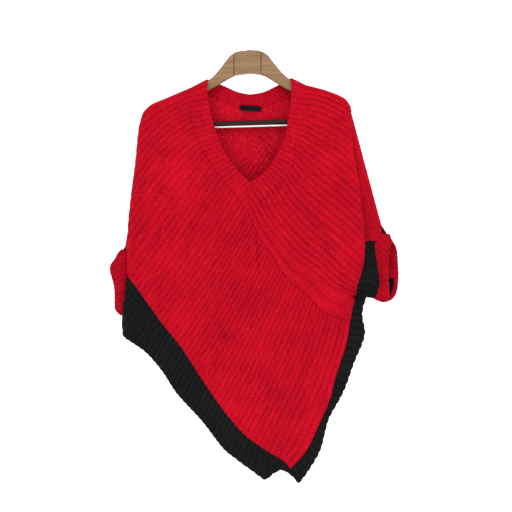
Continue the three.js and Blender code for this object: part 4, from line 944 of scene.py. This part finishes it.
def knit_group(name):
    """Knitted stitches: two legs to a stitch in each rib, painted light on the stitches, painted shade in the
    valleys and between the legs, and a fuzz with random tone and painted highlights.
    """
    inputs = {"Yarn": "Color", "Valley": "Color", "Fleck": "Color", "Fleck Share": "Float"}
    group, given = shader_group(name, inputs)
    calc = partial(math_node, group)
    knit_map = node(group, "ShaderNodeUVMap", uv_map="knit").outputs["UV"]
    places = node(group, "ShaderNodeTexCoord").outputs["Object"]
    split = node(group, "ShaderNodeSeparateXYZ", {0: knit_map}).outputs

    # Each leg of a stitch leans to its rib's middle
    drift = calc("SUBTRACT", noise(group, places, WOBBLE_SCALE, 2), 0.5)
    across = calc("ADD", split[0], calc("MULTIPLY", drift, RIB_WOBBLE))
    beside = calc("ABSOLUTE", calc("SUBTRACT", calc("FRACT", across), 0.5))
    beside = calc("MULTIPLY", beside, 2.0)
    phase = calc("ADD", calc("ADD", split[1], calc("MULTIPLY", beside, LEG_LEAN)), drift)
    strand = calc("SUBTRACT", calc("MULTIPLY", calc("FRACT", phase), 2.0), 1.0)
    leg = calc("SUBTRACT", 1.0, calc("POWER", calc("ABSOLUTE", strand), LEG_POWER))
    crown = calc("SUBTRACT", 1.0, calc("POWER", beside, CROWN_POWER))
    # The gap between a stitch's legs: lower in the bump, and painted shade in the colour
    between_legs = calc("MINIMUM", calc("MULTIPLY", beside, LEG_GAP["sharpness"]), 1.0)
    parted = calc("MULTIPLY_ADD", between_legs, LEG_GAP["depth"], 1 - LEG_GAP["depth"])
    stitch = calc("MULTIPLY", leg, parted)
    body = calc("MULTIPLY", stitch, crown)
    fuzz = noise(group, places, FUZZ_SCALE, 3, 0.65)

    # Painted light on the stitches and painted shade in the valleys and between the legs, then worn patches
    # and streaks along the ribs
    painted_shading = calc("ADD", calc("MULTIPLY", body, PAINTED_SHADING["body"]), calc("MULTIPLY", crown, PAINTED_SHADING["crown"]))
    painted_shading = calc("ADD", painted_shading, calc("MULTIPLY", fuzz, PAINTED_SHADING["fuzz"]))
    painted_shading = calc("MINIMUM", calc("SUBTRACT", painted_shading, PAINTED_SHADING["drop"]), 1.0)
    color = mixed(group, painted_shading, given["Valley"], given["Yarn"])
    patches = noise(group, places, PATCH_SCALE, 3)
    streaks = noise(group, stretched(group, knit_map, STREAK_STRETCH), 1, 2)
    worn = calc("MULTIPLY", calc("SUBTRACT", patches, 0.5), PATCH_TONE)
    streaked = calc("MULTIPLY", calc("SUBTRACT", streaks, 0.5), STREAK_TONE)
    brighter = calc("ADD", calc("ADD", worn, streaked), 1.0)
    scaled = node(group, "ShaderNodeVectorMath", {0: color, 3: brighter}, operation="SCALE").outputs[0]
    flecks = noise(group, places, FLECK_SCALE, 1)
    mask = calc("GREATER_THAN", flecks, calc("SUBTRACT", 1.0, given["Fleck Share"]))
    height = calc("ADD", body, calc("MULTIPLY", fuzz, FUZZ_HEIGHT))
    node(group, "NodeGroupOutput", {
        "Color": mixed(group, mask, scaled, given["Fleck"]),
        "Roughness": calc("MULTIPLY_ADD", fuzz, 0.15, 0.8),
        "Normal": bump(group, height, *KNIT_BUMP),
    })
    return group


def grain_group(name):
    """Wood grain along X: fine fibres over broader bands."""
    group, given = shader_group(name, {"Light": "Color", "Dark": "Color"})
    calc = partial(math_node, group)
    places = node(group, "ShaderNodeTexCoord").outputs["Object"]
    fibres = stretched(group, places, GRAIN_STRETCH)
    bands = noise(group, fibres, 1, 5, 0.6)
    fine = noise(group, fibres, 6, 3)
    shade = calc("ADD", calc("MULTIPLY", bands, 1.7), calc("MULTIPLY", fine, 0.5))
    shade = calc("SUBTRACT", shade, 0.6)
    node(group, "NodeGroupOutput", {
        "Color": mixed(group, shade, given["Dark"], given["Light"]),
        "Roughness": calc("MULTIPLY_ADD", fine, 0.2, 0.3),
        "Normal": bump(group, fine, *GRAIN_BUMP),
    })
    return group


def new_material(name):
    """A material with its tree and its main shader."""
    material = bpy.data.materials.new(name)
    material.use_nodes = True
    tree = material.node_tree
    return material, tree, tree.nodes["Principled BSDF"]


def grouped_material(name, group_name, build, colours, finish):
    """A material with colour, roughness and normal from a shader group that is made once."""
    material, tree, shader = new_material(name)
    group = bpy.data.node_groups.get(group_name) or build(group_name)
    given = node(tree, "ShaderNodeGroup", colours, node_tree=group).outputs
    feed(tree, shader, {
        "Base Color": given["Color"], "Roughness": given["Roughness"], "Normal": given["Normal"], **finish,
    })
    return material


def yarn_material(name):
    """One face of the knitted cloth, made once."""
    if name in bpy.data.materials:
        return bpy.data.materials[name]
    colour, brightness, valley_shade_share, fleck, fleck_share, sheen = YARNS[name]
    yarn = tuple(brightness * value for value in getattr(bpy.context.scene.sweater_colours, colour))
    valley_shade = tuple(valley_shade_share * value for value in yarn)
    colours = {"Yarn": (*yarn, 1), "Valley": (*valley_shade, 1), "Fleck": (*fleck, 1), "Fleck Share": fleck_share}
    return grouped_material(name, "knitted stitches", knit_group, colours, {
        "Specular IOR Level": 0.03, "Sheen Weight": 0.05, "Sheen Roughness": 0.5, "Sheen Tint": (*sheen, 1),
    })


def wood_material(name, light, dark, gloss):
    """Wood under a worn varnish."""
    return grouped_material(name, "wood grain", grain_group, {"Light": (*light, 1), "Dark": (*dark, 1)}, {
        "Coat Weight": 0.4 * gloss, "Specular IOR Level": gloss, "Coat Roughness": 0.3,
    })


def speckled_material(name, base, variation, roughness, metallic=0.0):
    """A smooth finish whose tone and gloss vary a little."""
    material, tree, shader = new_material(name)
    places = node(tree, "ShaderNodeTexCoord").outputs["Object"]
    speckle = noise(tree, places, SPECKLE_SCALE, 3)
    darker = tuple(value * (1 - variation) for value in base)
    feed(tree, shader, {
        "Base Color": mixed(tree, speckle, (*darker, 1), (*base, 1)),
        "Roughness": math_node(tree, "MULTIPLY_ADD", speckle, 0.15, roughness - 0.07),
        "Metallic": metallic,
    })
    return material


def label_material():
    """Dark woven satin with fine ribs across."""
    material, tree, shader = new_material("label satin")
    knit_map = node(tree, "ShaderNodeUVMap", uv_map="knit").outputs["UV"]
    inputs = {"Vector": knit_map, "Scale": 9}
    wave = node(tree, "ShaderNodeTexWave", inputs, bands_direction="Y").outputs["Fac"]
    feed(tree, shader, {
        "Base Color": mixed(tree, wave, (0.002, 0.002, 0.003, 1), (0.006, 0.006, 0.009, 1)),
        "Roughness": 0.8,
        "Specular IOR Level": 0.1,
        "Normal": bump(tree, wave, *LABEL_BUMP),
    })
    return material


def finish_node(name, material):
    """Gives a CAD solid its finish."""
    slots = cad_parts[name].data.materials
    slots.clear()
    slots.append(material)


class SweaterKnit(bpy.types.PropertyGroup):
    """Sizes of the knitted cloth."""

    rib_rise: FloatProperty(
        name="Rib height", description="How far a rib stands above its valleys", default=0.0024,
        min=0.0, max=0.01, unit="LENGTH",
    )
    thickness: FloatProperty(
        name="Cloth thickness", description="Thickness of the knitted wall", default=0.0024,
        min=0.0005, max=0.006, unit="LENGTH",
    )


class SweaterColours(bpy.types.PropertyGroup):
    """Colours of the yarns and the hanger."""

    red: FloatVectorProperty(
        name="Main yarn", description="Yarn of the panels, neckband and cuffs",
        default=(0.475, 0.0030, 0.0145), subtype="COLOR", min=0.0, max=1.0,
    )
    charcoal: FloatVectorProperty(
        name="Contrast yarn", description="Yarn of the bands", default=(0.0088, 0.0096, 0.0100),
        subtype="COLOR", min=0.0, max=1.0,
    )
    wood: FloatVectorProperty(
        name="Hanger wood", description="Light grain of the hanger", default=(0.325, 0.185, 0.09),
        subtype="COLOR", min=0.0, max=1.0,
    )


class SweaterStage(bpy.types.PropertyGroup):
    """The studio."""

    light: FloatProperty(
        name="Key light", description="Power of the main soft light", default=26.0, min=0.0, subtype="POWER",
        unit="POWER",
    )
    glow: FloatProperty(
        name="Backdrop glow", description="Brightness of the pale surroundings", default=0.92, min=0.0,
    )


class SWEATER_OT_panels(bpy.types.Operator):
    """Knit the four panels of the body"""

    bl_idname = "sweater.panels"
    bl_label = "Body panels"

    def execute(self, context):
        red = yarn_material("red yarn")
        left_panel(FRONT, red)
        right_panel(FRONT, red)
        back = left_panel(BACK, red), right_panel(BACK, red)
        for piece in back:
            # The inner faces seen through the neck take the yarn painted lighter: painted light
            line_inside(piece, yarn_material("red yarn inside"))
        return {"FINISHED"}


class SWEATER_OT_neckband(bpy.types.Operator):
    """Knit the neckband ring"""

    bl_idname = "sweater.neckband"
    bl_label = "Neckband"

    def execute(self, context):
        neckband(yarn_material("red yarn"))
        return {"FINISHED"}


class SWEATER_OT_bands(bpy.types.Operator):
    """Knit the contrast bands of the hem and the side"""

    bl_idname = "sweater.bands"
    bl_label = "Hem and side bands"

    def execute(self, context):
        charcoal = yarn_material("charcoal yarn")
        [make(side, charcoal) for side in (FRONT, BACK) for make in (hem_band, side_band)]
        return {"FINISHED"}


class SWEATER_OT_sleeves(bpy.types.Operator):
    """Knit the sleeves, their contrast bands and the turned-up cuffs"""

    bl_idname = "sweater.sleeves"
    bl_label = "Sleeves and cuffs"

    def execute(self, context):
        red, turned, charcoal = (
            yarn_material(name) for name in ("red yarn", "red yarn turned up", "charcoal yarn")
        )
        for name, sleeve in SLEEVES.items():
            sleeve_cloth(f"sleeve_{name}", sleeve, red)
            sleeve_band(f"sleeve_band_{name}", sleeve, charcoal)
            # The cuffs take the red yarn painted darker: painted shade
            cuff(f"cuff_{name}", sleeve, turned, charcoal)
        return {"FINISHED"}


class SWEATER_OT_label(bpy.types.Operator):
    """Sew the blank label inside the back neckband"""

    bl_idname = "sweater.label"
    bl_label = "Label"

    def execute(self, context):
        across = np.linspace(LABEL["left"], LABEL["right"], 41)
        down = np.linspace(LABEL["top"], LABEL["bottom"], 17)
        plan = np.stack(np.meshgrid(across, down), axis=-1)
        plan[..., 1] -= LABEL["tilt"] * (plan[..., 0] - LABEL["left"])
        points, _ = body_points(BACK, plan)
        rim = np.minimum(np.abs(plan[..., 0] - LABEL["left"]), np.abs(plan[..., 0] - LABEL["right"]))
        hem = LABEL["hem_height"] * np.exp(-((rim - LABEL["hem_inset"]) ** 2))
        points[..., 1] += hem - LABEL["inward"]
        _, turn = surface_normals(points)
        mesh = grid_mesh("neck_label", points, plan / 10, turn)
        piece = new_piece("neck_label", mesh, label_material())
        thicken(piece, LABEL["thickness"] * MM)
        return {"FINISHED"}


class SWEATER_OT_hanger(bpy.types.Operator):
    """Finish the hanger: wood, trouser bar, the pale strip under the bar, and hook"""

    bl_idname = "sweater.hanger"
    bl_label = "Hanger"

    def execute(self, context):
        wood = tuple(context.scene.sweater_colours.wood)
        dark = tuple(0.42 * value for value in wood)
        finish_node("hanger_body", wood_material("hanger wood", wood, dark, 0.25))
        steel = speckled_material("hook steel", (0.75, 0.76, 0.78), 0.1, 0.22, 1.0)
        finish_node("hook_collar", steel)
        self.hook(steel)
        self.bar(wood_material("bar wood", (0.030, 0.012, 0.009), (0.012, 0.005, 0.004), 0.12))
        self.strip(speckled_material("pale strip", (0.78, 0.78, 0.76), 0.08, 0.45))
        return {"FINISHED"}

    def hook(self, steel):
        """A round wire along the hook's line, with rounded ends."""
        turns = np.radians(HOOK_ANGLES)
        height = HOOK_WIRE - HOOK_RING + HOOK_RING * np.sin(turns)
        ring = np.stack([HOOK_RING * np.cos(turns), height], axis=-1)
        line = smooth_line(np.vstack([ring, HOOK_NECK]), HOOK_SPACING)
        ahead = unit(np.gradient(line, axis=0))
        beside = np.stack([-ahead[:, 1], ahead[:, 0]], axis=-1)
        around = np.linspace(0, 2 * np.pi, 25)
        steps = np.arange(len(line))
        radius = HOOK_WIRE * rounding(np.minimum(steps, steps[::-1]), 2)
        wide = np.cos(around)[None] * radius[:, None]
        deep = np.sin(around)[None] * radius[:, None]
        flat = line[:, None] + beside[:, None] * wide[..., None]
        points = np.stack([flat[..., 0], deep, flat[..., 1]], axis=-1)
        mesh = grid_mesh("hook", points, np.zeros(points.shape[:2] + (2,)), 1, wrap=True)
        bm = bmesh.new()
        bm.from_mesh(mesh)
        bmesh.ops.recalc_face_normals(bm, faces=bm.faces)
        bm.to_mesh(mesh)
        bm.free()
        new_piece("hook", mesh, steel)

    def placed(self, bm, drop):
        """Turns a bar made along X to the bar's tilt and sets it in its place."""
        centre = Vector((0, 0, (BAR["z"] - drop) * MM))
        bmesh.ops.rotate(bm, verts=bm.verts, cent=(0, 0, 0), matrix=Matrix.Rotation(-BAR["tilt"], 3, "Y"))
        bmesh.ops.translate(bm, verts=bm.verts, vec=centre)

    def bar(self, dark_wood):
        """The round trouser bar, its rims rounded."""
        bm = bmesh.new()
        radius, depth = BAR["radius"] * MM, 2 * BAR["half_length"] * MM
        bmesh.ops.create_cone(bm, cap_ends=True, segments=32, radius1=radius, radius2=radius, depth=depth)
        along_x = Matrix.Rotation(math.radians(90), 3, "Y")
        bmesh.ops.rotate(bm, verts=bm.verts, cent=(0, 0, 0), matrix=along_x)
        rims = [edge for edge in bm.edges if len({len(face.verts) for face in edge.link_faces}) == 2]
        bmesh.ops.bevel(bm, geom=rims, offset=BAR["rounding"] * MM, **BEVEL)
        self.placed(bm, 0)
        self.make("trouser_bar", bm, dark_wood, "bar_wood")

    def strip(self, pale):
        """The pale strip under the bar, its edges rounded."""
        bm = bmesh.new()
        bmesh.ops.create_cube(bm, size=1)
        size = (2 * BAR["half_length"] * MM, STRIP["width"] * MM, STRIP["height"] * MM)
        bmesh.ops.scale(bm, verts=bm.verts, vec=size)
        bmesh.ops.bevel(bm, geom=bm.edges[:], offset=STRIP["rounding"] * MM, **BEVEL)
        self.placed(bm, STRIP["drop"])
        self.make("bar_strip", bm, pale, "pale_strip")

    def make(self, name, bm, material, slot):
        """Turns a finished bmesh into a smooth piece with its sharp edges kept."""
        mesh = mesh_of(bm, name)
        mesh.shade_smooth()
        mesh.set_sharp_from_angle(angle=math.radians(40))
        new_piece(name, mesh, material)


class SWEATER_OT_stage(bpy.types.Operator):
    """Set the pale floor, soft light and camera"""

    bl_idname = "sweater.stage"
    bl_label = "Stage"

    def execute(self, context):
        settings = context.scene.sweater_stage
        self.floor(settings)
        self.lights(settings)
        self.camera(context)
        return {"FINISHED"}

    def floor(self, settings):
        """A pale floor that turns up into a wall all round."""
        material, tree, shader = new_material("pale backdrop")
        feed(tree, shader, {
            "Roughness": 0.9, "Base Color": (0.35, 0.35, 0.35, 1), "Emission Color": (1, 1, 1, 1),
            "Emission Strength": settings.glow,
        })
        bm = bmesh.new()
        line = [bm.verts.new((x, 0, z)) for x, z in BACKDROP]
        edges = [bm.edges.new(pair) for pair in zip(line, line[1:])]
        bmesh.ops.spin(
            bm, geom=[*line, *edges], cent=(0, 0, 0), axis=(0, 0, 1), angle=2 * math.pi, steps=64,
            use_merge=True,
        )
        bmesh.ops.remove_doubles(bm, verts=bm.verts, dist=BACKDROP_WELD)
        bmesh.ops.recalc_face_normals(bm, faces=bm.faces)
        mesh = mesh_of(bm, "backdrop")
        mesh.shade_smooth()
        mesh.materials.append(material)
        backdrop = bpy.data.objects.new("backdrop", mesh)
        bpy.context.scene.collection.objects.link(backdrop)

    def lights(self, settings):
        """Even light from all round, and three soft lamps."""
        world = bpy.data.worlds.new("studio")
        bpy.context.scene.world = world
        world.use_nodes = True
        feed(world.node_tree, world.node_tree.nodes["Background"], {"Color": (1, 1, 1, 1), "Strength": 0.8})
        for name, (place, share, size) in LIGHTS.items():
            light = bpy.data.lights.new(name, "AREA")
            light.energy = settings.light * share
            light.size = size
            lamp = bpy.data.objects.new(name, light)
            lamp.location = place
            aim = Vector(LIGHT_AIM) - Vector(place)
            lamp.rotation_euler = aim.to_track_quat("-Z", "Y").to_euler()
            bpy.context.scene.collection.objects.link(lamp)

    def camera(self, context):
        """A camera straight in front."""
        lens = bpy.data.cameras.new("camera")
        lens.lens = CAMERA_LENS
        lens.sensor_width = CAMERA_SENSOR
        camera = bpy.data.objects.new("camera", lens)
        camera.location = CAMERA_PLACE
        camera.rotation_euler = (math.radians(90), 0, 0)
        context.scene.collection.objects.link(camera)
        context.scene.camera = camera


class SWEATER_PT_panel(bpy.types.Panel):
    """The sweater's sizes, colours and pieces."""

    bl_idname = "SWEATER_PT_panel"
    bl_label = "Sweater"
    bl_space_type = "VIEW_3D"
    bl_region_type = "UI"
    bl_category = "Sweater"

    def draw(self, context):
        layout = self.layout
        for group in (context.scene.sweater_knit, context.scene.sweater_colours, context.scene.sweater_stage):
            box = layout.box()
            for name in group.__annotations__:
                box.prop(group, name)
        for operator in OPERATORS:
            layout.operator(operator.bl_idname)


OPERATORS = (
    SWEATER_OT_panels, SWEATER_OT_neckband, SWEATER_OT_bands, SWEATER_OT_sleeves, SWEATER_OT_label,
    SWEATER_OT_hanger, SWEATER_OT_stage,
)
CLASSES = (SweaterKnit, SweaterColours, SweaterStage, *OPERATORS, SWEATER_PT_panel)


def register():
    """Adds the classes and the scene's settings."""
    for made in CLASSES:
        bpy.utils.register_class(made)
    bpy.types.Scene.sweater_knit = PointerProperty(type=SweaterKnit)
    bpy.types.Scene.sweater_colours = PointerProperty(type=SweaterColours)
    bpy.types.Scene.sweater_stage = PointerProperty(type=SweaterStage)


def unregister():
    """Takes the classes and the settings away again."""
    del bpy.types.Scene.sweater_stage
    del bpy.types.Scene.sweater_colours
    del bpy.types.Scene.sweater_knit
    for made in reversed(CLASSES):
        bpy.utils.unregister_class(made)


def main():
    """Registers the add-on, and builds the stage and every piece."""
    register()
    bpy.context.scene.view_settings.view_transform = "Standard"
    bpy.ops.sweater.stage()
    bpy.ops.sweater.panels()
    bpy.ops.sweater.neckband()
    bpy.ops.sweater.bands()
    bpy.ops.sweater.sleeves()
    bpy.ops.sweater.label()
    bpy.ops.sweater.hanger()


if __name__ == "__main__":
    main()
